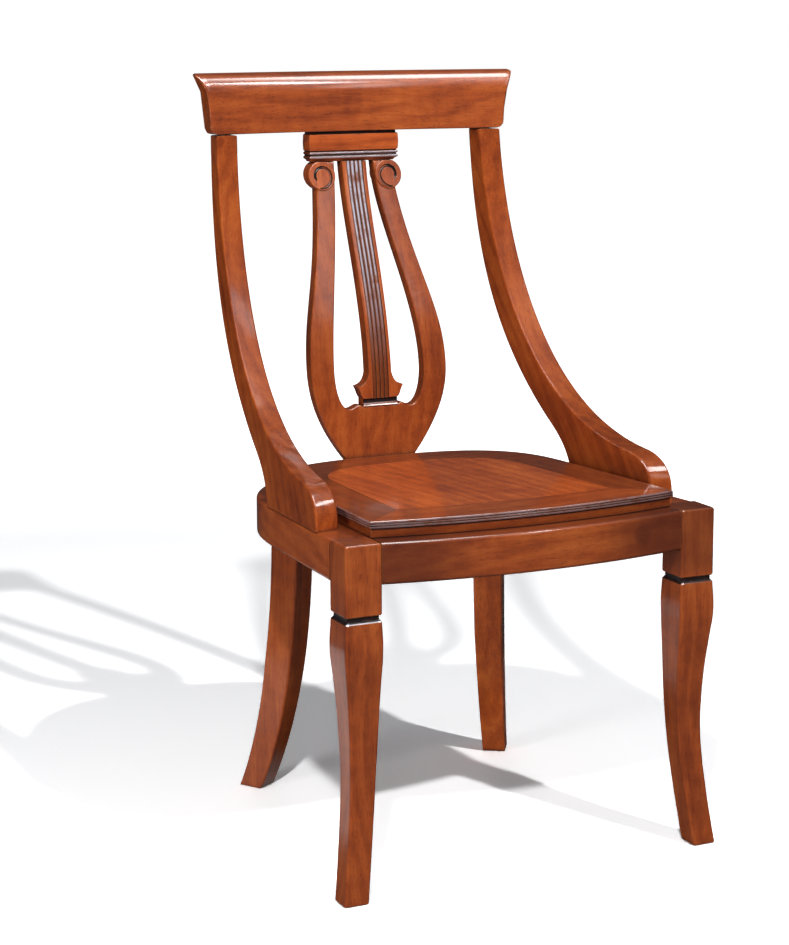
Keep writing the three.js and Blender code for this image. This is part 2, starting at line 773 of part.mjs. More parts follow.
const spiralSection = [
  [-spiralWidth / 2, 0], [0, spiralDepth], [spiralWidth / 2, 0], [spiralWidth / 2, -past],
  [-spiralWidth / 2, -past],
];

// Section of the cutter that leaves a row of round reeds.
function reedSection() {
  const half = reedCount * reedPitch / 2;
  const points = [];
  for (let i = 0; i <= reedCount * reedStepCount; i += 1) {
    const crown = Math.sin(Math.PI * (i % reedStepCount) / reedStepCount);
    points.push([-half + i * reedPitch / reedStepCount, mix(reedDepth, reedSunk, crown)]);
  }
  return [...points, [half, -past], [-half, -past]];
}

// The spiral cut of one volute.
function volutePath(sign) {
  const steps = 30;
  const path = [];
  for (let i = 0; i <= steps; i += 1) {
    const share = i / steps;
    const angle = radians(spiralFromDegrees + spiralTurnDegrees * share);
    const radius = mix(spiralEndRadius, spiralStartRadius, (1 - share) ** spiralPower);
    const x = voluteX - radius * Math.cos(angle);
    const z = voluteZ + radius * Math.sin(angle);
    const across = new THREE.Vector3(-sign * Math.cos(angle), 0, Math.sin(angle));
    path.push([new THREE.Vector3(sign * x, lyreFrontY(z) - voluteProud, z), across]);
  }
  return path;
}

function lyreSplat() {
  const half = [
    ...bezier(lyreOuterLow, 10), ...bezier(lyreOuterHigh, 12).slice(1),
    new THREE.Vector2(voluteX, voluteZ), new THREE.Vector2(voluteX, lyreTop),
    ...bezier(lyreInnerHigh, 12), ...bezier(lyreInnerLow, 7).slice(1),
    ...bezier(above(lyreSeatZ, lyreSaddle), 4).slice(1),
    new THREE.Vector2(columnNeckHalf, lyreSeatZ),
  ];
  const outline = [...half, ...mirrored(half)];
  const back = lyreProfile[3][0] + lyreThick + past;
  const board = solid(frontPlate(outline, lyreProfile[0][0] - past, back));
  const flat = board.intersect(lyreSlab(0, lyreThick, lyreFootZ, lyreTop)).add(lyreTenon(0));
  const discs = signs.map(([, sign]) => {
    const disc = pin(
      new THREE.Vector3(sign * voluteX, 0, voluteZ), new THREE.Vector3(sign * voluteX, back, voluteZ),
      voluteRadius, 32,
    );
    return solid(disc).intersect(lyreSlab(-voluteProud, lyreThick, voluteZ - voluteRadius - past, lyreTop));
  });
  const body = discs.reduce((all, disc) => all.add(disc), flat);
  return cutAll(body, signs.map(([, sign]) => channel(volutePath(sign), spiralSection)));
}

function lyreColumn() {
  const half = [
    new THREE.Vector2(columnNeckHalf, lyreSeatZ + fit), new THREE.Vector2(columnNeckHalf, columnNeckTop),
    ...bezier(above(columnNeckTop, columnHorn), 5).slice(1),
    ...bezier(above(columnNeckTop, columnHornTop), 5).slice(1),
    new THREE.Vector2(columnWaist[0], columnNeckTop + columnWaist[1]),
    new THREE.Vector2(columnHalf, lyreTop), new THREE.Vector2(columnTenonHalf, lyreTop),
    new THREE.Vector2(columnTenonHalf, lyreTop + columnTenonHeight),
  ];
  const outline = [...half, ...mirrored(half)];
  const back = lyreProfile[3][0] + lyreThick + past;
  const board = solid(frontPlate(outline, lyreProfile[0][0] - past, back));
  const slab = lyreSlab(-columnProud, lyreThick - columnSunk, lyreSeatZ, lyreTop + columnTenonHeight);
  const shaped = board.intersect(slab);
  const front = lyreProfile[0][0] - columnProud;
  const neck = solid(box(
    -columnNeckHalf - past, columnNeckHalf + past, front - past, front + columnNeckDepth,
    columnBevelZ, columnNeckTop,
  ));
  const bevel = solid(loft([-1, 1].map((sign) => [
    new THREE.Vector3(sign * (columnNeckHalf + past), front, lyreSeatZ + fit),
    new THREE.Vector3(sign * (columnNeckHalf + past), front + columnNeckDepth, columnBevelZ),
    new THREE.Vector3(sign * (columnNeckHalf + past), front - past, columnBevelZ),
    new THREE.Vector3(sign * (columnNeckHalf + past), front - past, lyreSeatZ + fit),
  ])));
  const shoulder = solid(box(
    -columnHalf, columnHalf, front - past, lyreFrontY(lyreTop) + columnTenonSet, lyreTop,
    lyreTop + columnTenonHeight + past,
  ));
  const path = [];
  const steps = 16;
  for (let i = 0; i <= steps; i += 1) {
    const z = mix(columnNeckTop - past, lyreTop + past, i / steps);
    path.push([new THREE.Vector3(0, lyreFrontY(z) - columnProud, z), new THREE.Vector3(1, 0, 0)]);
  }
  return cutAll(shaped, [neck, bevel, shoulder, channel(path, reedSection())]);
}

function lyreCapital() {
  const loops = above(lyreTop + fit, capitalLevels.map(([rise, inset]) => [inset, rise]))
    .map(([inset, z]) => easedRectangle(
      -(capitalHalf - inset), capitalHalf - inset, capitalFrontY + inset,
      capitalFrontY + capitalThick, capitalArrisRadius, (x, y) => new THREE.Vector3(x, y, z),
    ));
  const mortise = solid(box(
    -columnTenonHalf - fit, columnTenonHalf + fit, lyreFrontY(lyreTop) + columnTenonSet - fit,
    lyreFrontY(lyreTop + columnTenonHeight) + lyreThick - columnSunk + fit, lyreTop - past,
    lyreTop + columnTenonHeight + fit,
  ));
  return cutAll(solid(loft(loops)), [mortise]);
}

// A bowed front, tapering sides and a round back; the seat and its inner border both follow it.
const seatHalf = (y) => seatCornerX - seatTaperShare * (y - seatCornerY);

function roundOutline(cornerX, cornerY, bow, backY) {
  const inset = seatHalf(cornerY) - cornerX;
  const frontSteps = 12;
  const front = Array.from({ length: frontSteps + 1 }, (_, i) => {
    const x = mix(-cornerX, cornerX, i / frontSteps);
    return new THREE.Vector2(x, cornerY - bowAt(x, bow, cornerX));
  });
  const power = 2 / seatCurvePower;
  const backSteps = 13;
  const arc = Array.from({ length: backSteps }, (_, i) => {
    const turn = (i / backSteps) * Math.PI / 2;
    const y = seatBendY + (backY - seatBendY) * Math.sin(turn) ** power;
    return new THREE.Vector2((seatHalf(y) - inset) * Math.cos(turn) ** power, y);
  });
  return [...front, ...arc, new THREE.Vector2(0, backY), ...mirrored(arc)];
}

const seatOutline = (inset) => roundOutline(
  seatCornerX - inset, seatCornerY + inset, seatBow, seatBackY - inset,
);

// A beaded edge as [rise in half beads, share of the bead's depth].
const beadShares = [[0, 1], [0.3, 0.3], [1, 0], [1.7, 0.3], [2, 1]];

function seatLayer(low, beads) {
  const loops = [];
  for (let bead = 0; bead < beads; bead += 1) {
    beadShares.slice(bead === 0 ? 0 : 1).forEach(([rise, share]) => {
      const z = low + (bead + rise / 2) * seatBead;
      const outline = seatOutline(share * seatBeadDepth);
      loops.push(outline.map((p) => new THREE.Vector3(p.x, p.y, z)));
    });
  }
  return loft(loops);
}

const veneerLow = plinthTop + (seatBeadCount - 1) * seatBead;

function seatPlinth() {
  return solid(rake(planPlate(seatOutline(plinthInset + seatBeadDepth), railTop + fit, plinthTop - fit)));
}

// The top layer is a field inside four mitred bands.
function seatTopPieces() {
  const layer = solid(rake(seatLayer(veneerLow + fit, 1)));
  const low = veneerLow - past;
  const high = veneerLow + seatBead + past;
  const border = roundOutline(bandCornerX, bandCornerY, bandBow, bandBackY);
  const inner = (grow) => solid(rake(planPlate(
    roundOutline(bandCornerX + grow, bandCornerY - grow, bandBow, bandBackY + grow), low, high,
  )));
  const ring = layer.subtract(inner(fit));
  const outerCorner = new THREE.Vector2(seatCornerX, seatCornerY);
  const innerCorner = new THREE.Vector2(bandCornerX, bandCornerY);
  const along = innerCorner.clone().sub(outerCorner).normalize();
  const across = new THREE.Vector2(-along.y, along.x).multiplyScalar(fit / 2);
  const back = across.clone().negate();
  const outside = outerCorner.clone().addScaledVector(along, -seatBow);
  const inside = innerCorner.clone().addScaledVector(along, seatBow);
  const frontHalfZone = [outside.clone().add(across), inside.clone().add(across)];
  const farFront = seatCornerY - 2 * seatBow;
  const frontZone = [
    new THREE.Vector2(outside.x, farFront), ...frontHalfZone, ...mirrored(frontHalfZone),
    new THREE.Vector2(-outside.x, farFront),
  ];
  const jointY = bandJointY - fit / 2;
  const sideZone = [
    outside.clone().add(back), new THREE.Vector2(outside.x, jointY),
    new THREE.Vector2(inside.x, jointY), inside.clone().add(back),
  ];
  const zone = (points) => solid(planPlate(points, low - seatBow, high + seatBow));
  const cut = (points) => ring.intersect(zone(points));
  const backZone = [
    new THREE.Vector2(-outside.x, jointY + fit), new THREE.Vector2(outside.x, jointY + fit),
    new THREE.Vector2(outside.x, seatBackY + past), new THREE.Vector2(-outside.x, seatBackY + past),
  ];
  return [
    ['seat_front_band', cut(frontZone)], ['seat_right_band', cut(sideZone)],
    ['seat_left_band', cut(mirrored(sideZone))], ['seat_back_band', cut(backZone)],
    ['seat_field', layer.intersect(inner(0))],
  ];
}

// Corner blocks inside the frame.
const blockTop = railTop - blockDrop;
const blockBottom = blockTop - blockHeight;
const blockMiddle = (blockTop + blockBottom) / 2;
const railInnerX = (y) => railHalf(y) - railThick;
const railBackFace = (x) => frontRailY(x) + frontRailThick;
const blockNearX = frontHalf - blockReachX;
const blockFarY = railFrontY + blockReachY;

const forSide = (sign, geometry) => solid(sign > 0 ? geometry : mirrorX(geometry));

function frontBlock(sign) {
  const cornerX = railInnerX(railFrontY) - fit;
  return forSide(sign, rake(planPlate([
    new THREE.Vector2(cornerX, railBackFace(cornerX) + fit),
    new THREE.Vector2(railInnerX(blockFarY) - fit, blockFarY),
    new THREE.Vector2(blockNearX, railBackFace(blockNearX) + fit),
  ], blockBottom, blockTop)));
}

// A place in a curved rail, by its turn and its depth from the outer face.
const inRail = (turn, depth) => railPoint(turn).addScaledVector(railNormal(turn), depth);
const backBlockTurn = (share) => jointTurn + share * radians(backBlockSpreadDegrees);
const backBlockShares = [-1, -0.5, 0, 0.5, 1];

function backBlock(sign) {
  const arc = backBlockShares.map((share) => inRail(backBlockTurn(share), railThick + fit));
  const ends = [1, -1].map((share) => inRail(backBlockTurn(share), railThick + backBlockDepth));
  return forSide(sign, rake(planPlate([...arc, ...ends], blockBottom, blockTop)));
}

// Fixings, each a turned shape laid along an axis, with the pieces that are bored for it.
const fixings = [];

function turned(profile, from, direction) {
  const geometry = new THREE.LatheGeometry(profile.map((p) => new THREE.Vector2(...p)), 12);
  const turn = new THREE.Quaternion().setFromUnitVectors(
    new THREE.Vector3(0, 1, 0), direction.clone().normalize(),
  );
  geometry.applyQuaternion(turn);
  geometry.translate(from.x, from.y, from.z);
  return solid(geometry);
}

function addDowel(name, from, length, radius, through) {
  const up = new THREE.Vector3(0, 0, 1);
  const profile = (grow) => [
    [0, -grow], [radius + grow, -grow], [radius + grow, length + grow], [0, length + grow],
  ];
  fixings.push({
    name, through, look: bareWood, body: turned(profile(0), from, up), bore: turned(profile(fit), from, up),
  });
}

function addScrew(name, from, direction, length, through) {
  const shank = length - screwTip;
  const body = [
    [0, 0], [screwHeadRadius, 0], [screwRadius, screwHead], [screwRadius, shank], [0, length],
  ];
  const bore = [
    [0, -screwBore], [screwHeadRadius + fit, -screwBore], [screwHeadRadius + fit, fit],
    [screwRadius + fit, screwHead + fit], [screwRadius + fit, shank + fit], [0, length + 2 * fit],
  ];
  fixings.push({
    name, through, look: metal, body: turned(body, from, direction), bore: turned(bore, from, direction),
  });
}

signs.forEach(([side, sign]) => {
  Object.entries(stileDowelY).forEach(([place, y]) => {
    const at = inStile(sign, stileThick / 2, y, railTop);
    at.z -= drop(at.y) + dowelDepth;
    addDowel(`${side}_stile_${place}_dowel`, at, 2 * dowelDepth, dowelRadius,
      [`${side}_stile`, `${side}_rail`]);
  });
  const crest = inStile(sign, stileThick / 2, stileCrestDowelY, stileTop);
  crest.z = crestBottom - dowelDepth;
  addDowel(`${side}_crest_dowel`, crest, 2 * dowelDepth, dowelRadius, [`${side}_stile`, 'crest_rail']);
  const capitalY = capitalFrontY + capitalThick / 2;
  const capitalFoot = new THREE.Vector3(sign * voluteX / 2, capitalY, crestBottom - capitalDowelSink);
  addDowel(`${side}_capital_dowel`, capitalFoot, capitalDowelLength, dowelRadius,
    ['lyre_capital', 'crest_rail']);
  const voluteY = lyreFrontY(lyreTop) + lyreThick / 2;
  addDowel(`${side}_volute_dowel`, new THREE.Vector3(sign * voluteX, voluteY, lyreTop - smallDowelDepth),
    2 * smallDowelDepth, smallDowelRadius, ['lyre_splat', 'lyre_capital']);
  const leg = inRail(jointTurn * backDowelTurnShare, railThick * railMiddleShare);
  const legFoot = new THREE.Vector3(sign * leg.x, leg.y, railLow - drop(leg.y) - dowelDepth);
  addDowel(`back_${side}_leg_dowel`, legFoot, dowelDepth + backDowelRise, dowelRadius,
    [`back_${side}_leg`, `${side}_rail`]);

  // Block screws, from the slanting face of each block into the rails.
  const farX = railInnerX(blockFarY) - fit;
  const nearY = railBackFace(blockNearX) + fit;
  const slope = (blockFarY - nearY) / (farX - blockNearX);
  const front = `front_${side}_block`;
  const screwX = frontHalf - frontScrewX;
  const screwY = railFrontY + frontScrewY;
  const faceY = nearY + (screwX - blockNearX) * slope - screwSink;
  const faceX = blockNearX + (screwY - nearY) / slope + screwSink;
  addScrew(`${front}_screw_1`, new THREE.Vector3(sign * screwX, faceY, blockMiddle - drop(faceY)),
    new THREE.Vector3(0, -1, 0), screwLength, [front, 'front_rail']);
  addScrew(`${front}_screw_2`, new THREE.Vector3(sign * faceX, screwY, blockMiddle - drop(screwY)),
    new THREE.Vector3(sign, 0, 0), screwLength, [front, `${side}_rail`]);
  const back = `back_${side}_block`;
  [`${side}_rail`, 'back_rail'].forEach((rail, i) => {
    const turn = backBlockTurn(backScrewShares[i]);
    const head = inRail(turn, railThick + backBlockDepth - screwSink);
    const inward = railNormal(turn);
    const from = new THREE.Vector3(sign * head.x, head.y, blockMiddle - drop(head.y));
    addScrew(`${back}_screw_${i + 1}`, from, new THREE.Vector3(-sign * inward.x, -inward.y, 0), screwLength,
      [back, rail]);
  });

  // Seat screws, up through the blocks into the plinth.
  const up = new THREE.Vector3(0, 0, 1);
  const seatY = railFrontY + seatScrewY;
  const backSeat = inRail(jointTurn, railThick + backBlockDepth / 2);
  const seatPlaces = [[front, railInnerX(seatY) - seatScrewX, seatY], [back, backSeat.x, backSeat.y]];
  seatPlaces.forEach(([block, x, y]) => {
    const z = blockBottom - drop(y) + screwHead;
    addScrew(`${block}_seat_screw`, new THREE.Vector3(sign * x, y, z), up, seatScrewLength,
      [block, 'seat_plinth']);
  });
});

// Every wooden piece, with its look.
const pieces = [
  ['front_rail', frontRail(), wood],
  ['back_rail', backRail(), wood],
  ['crest_rail', crestRail(), wood],
  ['lyre_splat', lyreSplat(), wood],
  ['lyre_column', lyreColumn(), wood],
  ['lyre_capital', lyreCapital(), wood],
  ['seat_plinth', seatPlinth(), darkWood],
  ['seat_board', solid(rake(seatLayer(plinthTop, seatBeadCount - 1))), darkWood],
];
seatTopPieces().forEach(([name, shape]) => pieces.push([name, shape, wood]));
signs.forEach(([side, sign]) => {
  pieces.push(
    [`${side}_rail`, sideRail(sign), wood],
    [`${side}_rail_spline`, railSpline(sign, 0), bareWood],
    [`${side}_stile`, stile(sign), wood],
    [`front_${side}_leg`, frontLeg(sign), wood],
    [`back_${side}_leg`, backLeg(sign), wood],
    [`front_${side}_block`, frontBlock(sign), bareWood],
    [`back_${side}_block`, backBlock(sign), bareWood],
  );
});

const bored = pieces.map(([name, shape, look]) => {
  const bores = fixings.filter((f) => f.through.includes(name)).map((f) => f.bore);
  return [name, cutAll(shape, bores), look];
});
fixings.forEach((f) => bored.push([f.name, f.body, f.look]));

// The chair stands centred on the origin.
const chair = new THREE.Group();
bored.forEach(([name, shape, look]) => {
  const mesh = new THREE.Mesh(toGeometry(shape), new THREE.MeshStandardMaterial(look));
  mesh.name = name;
  chair.add(mesh);
});
const bounds = new THREE.Box3().setFromObject(chair);
const middle = bounds.getCenter(new THREE.Vector3());
chair.children.forEach((mesh) => mesh.geometry.translate(0, -middle.y, -bounds.min.z));

export default chair;
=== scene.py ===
import logging
import math
from dataclasses import dataclass
from enum import Enum
from typing import Any, Callable, Optional, Sequence

import bmesh
import bpy
from mathutils import Matrix, Vector


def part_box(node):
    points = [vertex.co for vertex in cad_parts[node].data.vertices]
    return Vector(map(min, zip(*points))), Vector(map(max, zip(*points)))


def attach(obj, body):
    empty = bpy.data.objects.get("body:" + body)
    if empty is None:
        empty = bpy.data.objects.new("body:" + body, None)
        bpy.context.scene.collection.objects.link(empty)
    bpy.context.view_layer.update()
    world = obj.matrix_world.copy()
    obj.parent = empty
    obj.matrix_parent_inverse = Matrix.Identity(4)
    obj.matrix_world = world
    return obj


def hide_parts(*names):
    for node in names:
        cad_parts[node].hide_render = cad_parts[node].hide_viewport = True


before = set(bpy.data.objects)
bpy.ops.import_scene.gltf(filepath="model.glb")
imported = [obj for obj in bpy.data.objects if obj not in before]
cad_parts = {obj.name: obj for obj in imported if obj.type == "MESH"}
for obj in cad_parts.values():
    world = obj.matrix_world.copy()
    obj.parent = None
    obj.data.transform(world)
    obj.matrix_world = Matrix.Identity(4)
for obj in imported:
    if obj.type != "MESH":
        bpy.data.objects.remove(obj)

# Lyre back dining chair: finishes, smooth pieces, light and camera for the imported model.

LOG = logging.getLogger("chair")
METRE = 0.001
HALVINGS = 40
MERGE_REACH = 1e-7
NORMAL_WEIGHT = 60
Point = tuple[float, float]
Place = tuple[float, float, float]
Loop = list[Vector]
Chooser = Callable[[Vector, Vector], int]


class Run(Enum):
    """Which way the grain of a piece runs, as the turn in degrees that brings it to Z."""

    UPRIGHT = (0.0, 0.0, 0.0)
    ACROSS = (0.0, 90.0, 0.0)
    DEEP = (90.0, 0.0, 0.0)
    STILE = (38.0, 0.0, 0.0)
    LYRE = (14.0, 0.0, 0.0)
    MITRE = (90.0, 0.0, 12.0)


class Wire:
    """A shader value; arithmetic on it adds Math nodes to its sheet."""

    def __init__(self, sheet: "Sheet", socket: bpy.types.NodeSocket) -> None:
        """Keep the sheet and the socket.

        Args:
            sheet: The material being drawn.
            socket: The output that holds the value.
        """
        self.sheet = sheet
        self.socket = socket

    def _math(self, operation: str, *values: Any) -> "Wire":
        """Add one Math node and return its value."""
        return self.sheet.node("ShaderNodeMath", {"operation": operation}, dict(enumerate(values)))

    def __add__(self, other: Any) -> "Wire":
        """Sum."""
        return self._math("ADD", self, other)

    def __radd__(self, other: Any) -> "Wire":
        """Sum, reflected."""
        return self._math("ADD", other, self)

    def __sub__(self, other: Any) -> "Wire":
        """Difference."""
        return self._math("SUBTRACT", self, other)

    def __rsub__(self, other: Any) -> "Wire":
        """Difference, reflected."""
        return self._math("SUBTRACT", other, self)

    def __mul__(self, other: Any) -> "Wire":
        """Product."""
        return self._math("MULTIPLY", self, other)

    def __rmul__(self, other: Any) -> "Wire":
        """Product, reflected."""
        return self._math("MULTIPLY", other, self)

    def __abs__(self) -> "Wire":
        """Size without its sign."""
        return self._math("ABSOLUTE", self)

    def sine(self) -> "Wire":
        """Sine of an angle in radians."""
        return self._math("SINE", self)

    def between(self, low: float, high: float) -> "Wire":
        """A smooth step from 0 at low to 1 at high.

        Args:
            low: The value where the step starts.
            high: The value where it ends.

        Returns:
            The stepped value.
        """
        return self.sheet.node(
            "ShaderNodeMapRange", {"interpolation_type": "SMOOTHSTEP"}, {0: self, 1: low, 2: high},
        )


class Sheet:
    """The node tree of one material or world."""

    def __init__(self, tree: bpy.types.NodeTree) -> None:
        """Empty the tree.

        Args:
            tree: The tree to draw in.
        """
        self.tree = tree
        tree.nodes.clear()

    def node(self, kind: str, settings: dict[str, Any], inputs: dict[Any, Any], output: Any = 0) -> Wire:
        """Add one node.

        Args:
            kind: The node's type.
            settings: Its properties, set first. A ramp's stops are given as "stops".
            inputs: Values or wires for its sockets, by name or number.
            output: The output that is returned.

        Returns:
            The node's output.
        """
        made = self.tree.nodes.new(kind)
        for name, value in settings.items():
            if name == "stops":
                self._stops(made.color_ramp, value)
            else:
                setattr(made, name, value)
        for name, value in inputs.items():
            target = made.inputs[name]
            if isinstance(value, Wire):
                self.tree.links.new(value.socket, target)
            else:
                target.default_value = value
        return Wire(self, made.outputs[output])

    @staticmethod
    def _stops(ramp: bpy.types.ColorRamp, stops: Sequence[tuple[float, Place]]) -> None:
        """Set the stops of a colour ramp.

        Args:
            ramp: The ramp.
            stops: Place and colour of each stop.
        """
        while len(ramp.elements) < len(stops):
            ramp.elements.new(1.0)
        for element, (place, tint) in zip(ramp.elements, stops):
            element.position = place
            element.color = colour(*tint)

    def place(self) -> Wire:
        """The piece's own coordinates, in metres."""
        return self.node("ShaderNodeTexCoord", {}, {}, "Object")

    def along(self, axis: int) -> Wire:
        """One of the piece's own coordinates."""
        return self.node("ShaderNodeSeparateXYZ", {}, {0: self.place()}, axis)

    def away_from(self, spot: Place) -> Wire:
        """Distance from a spot of the piece."""
        offset = self.node("ShaderNodeVectorMath", {"operation": "SUBTRACT"}, {0: self.place(), 1: spot})
        return self.node("ShaderNodeVectorMath", {"operation": "LENGTH"}, {0: offset}, 1)

    def facing(self) -> Wire:
        """The direction that the surface faces."""
        return self.node("ShaderNodeNewGeometry", {}, {}, "Normal")

    def ray(self, kind: str) -> Wire:
        """1 for the rays of a kind, else 0."""
        return self.node("ShaderNodeLightPath", {}, {}, kind)

    def grained(self, run: Run, shift: Sequence[float]) -> Wire:
        """Object coordinates turned so that Z runs along the grain.

        Args:
            run: Which way the grain runs.
            shift: Where in the board the piece was cut.

        Returns:
            The turned coordinates.
        """
        angles = tuple(math.radians(a) for a in run.value)
        return self.node("ShaderNodeMapping", {}, {
            "Vector": self.place(), "Rotation": angles, "Location": shift,
        })

    def scaled(self, place: Wire, factors: Place) -> Wire:
        """Coordinates times three factors."""
        return self.node("ShaderNodeVectorMath", {"operation": "MULTIPLY"}, {0: place, 1: factors})

    def noise(self, place: Wire, scale: float, detail: float, rough: float = 0.5) -> Wire:
        """A noise value between 0 and 1.

        Args:
            place: Coordinates.
            scale: Cells per metre.
            detail: Octaves.
            rough: Strength of each finer octave.

        Returns:
            The value.
        """
        return self.node("ShaderNodeTexNoise", {}, {
            "Vector": place, "Scale": scale, "Detail": detail, "Roughness": rough,
        })

    def mix(self, factor: Any, first: Any, second: Any) -> Wire:
        """Mix two colours.

        Args:
            factor: Share of the second.
            first: A colour.
            second: A colour.

        Returns:
            The mixed colour.
        """
        return self.node("ShaderNodeMix", {"data_type": "RGBA"}, {0: factor, 6: first, 7: second}, 2)

    def finish(self, kind: str, shader: Wire) -> None:
        """Link the shader to the tree's output."""
        end = self.tree.nodes.new(kind)
        self.tree.links.new(shader.socket, end.inputs["Surface"])


def colour(red: float, green: float, blue: float) -> tuple[float, float, float, float]:
    """A linear colour with full alpha."""
    return (red, green, blue, 1.0)


@dataclass(frozen=True)
class Finish:
    """A finish that is drawn as one material."""

    name: str

    def draw(self, sheet: Sheet) -> Wire:
        """Draw the finish's shader; each finish has its own.

        Args:
            sheet: The sheet to draw on.

        Returns:
            The shader.
        """
        raise NotImplementedError(self.name)

    def make(self) -> bpy.types.Material:
        """Make the material.

        Returns:
            The material.
        """
        material = bpy.data.materials.new(self.name)
        material.use_nodes = True
        sheet = Sheet(material.node_tree)
        sheet.finish("ShaderNodeOutputMaterial", self.draw(sheet))
        return material


@dataclass(frozen=True)
class Figure:
    """One layer of the wood's figure."""

    stretch: Place
    scale: float
    detail: float
    rough: float
    share: float = 0.0

    def on(self, sheet: Sheet, place: Wire) -> Wire:
        """The layer's value at grained coordinates."""
        return sheet.noise(sheet.scaled(place, self.stretch), self.scale, self.detail, self.rough)


# The wood's figure, and the ranges, reaches in metres and shares of its marks.
BLOTCH = Figure((1.0, 1.0, 0.45), 16.0, 3.0, 0.55, 1.15)
RIBBON = Figure((0.8, 0.8, 1.5), 42.0, 2.0, 0.5, 0.50)
STREAK = Figure((1.0, 1.0, 0.045), 330.0, 3.0, 0.6, 0.70)
PORES = Figure((1.0, 1.0, 0.07), 1300.0, 1.0, 0.5)
BENT_SHARE = 0.26
MEAN_TONE = 0.47
BOARD_STEP = (0.37, 0.71, 0.53)
PORE_RANGE = (0.60, 0.70)
PORE_DARK = 0.55
# Patchiness of the painted highlight, and how squarely a ridge must face the front to take it.
HIGHLIGHT_CLOUD = (0.25, 0.55)
RIDGE_HIGHLIGHT_RANGE = (0.80, 0.94)
KNOT_WOBBLE = 0.005
KNOT_WAVES = 1700.0
KNOT_RANGE = (0.0075, 0.0165)
KNOT_DARK = 0.50
KNOT_RINGS = 0.12
# Lighter arrises, partly rubbed stain and partly painted highlight; darker creases, glaze and painted shade
# found by ambient occlusion.
EDGE_RADIUS = 0.0016
EDGE_RANGE = (0.02, 0.16)
EDGE_WEAR_AND_HIGHLIGHT = 0.42
CREASE_REACH = 0.009
CREASE_RANGE = (0.28, 0.80)
CREASE_DARK = 0.80
FULL_COAT = 0.9
RUBBED_OFF = 0.80
RUBBED_FADE_LOW = 0.03
RUBBED_FADE_HIGH = 0.05


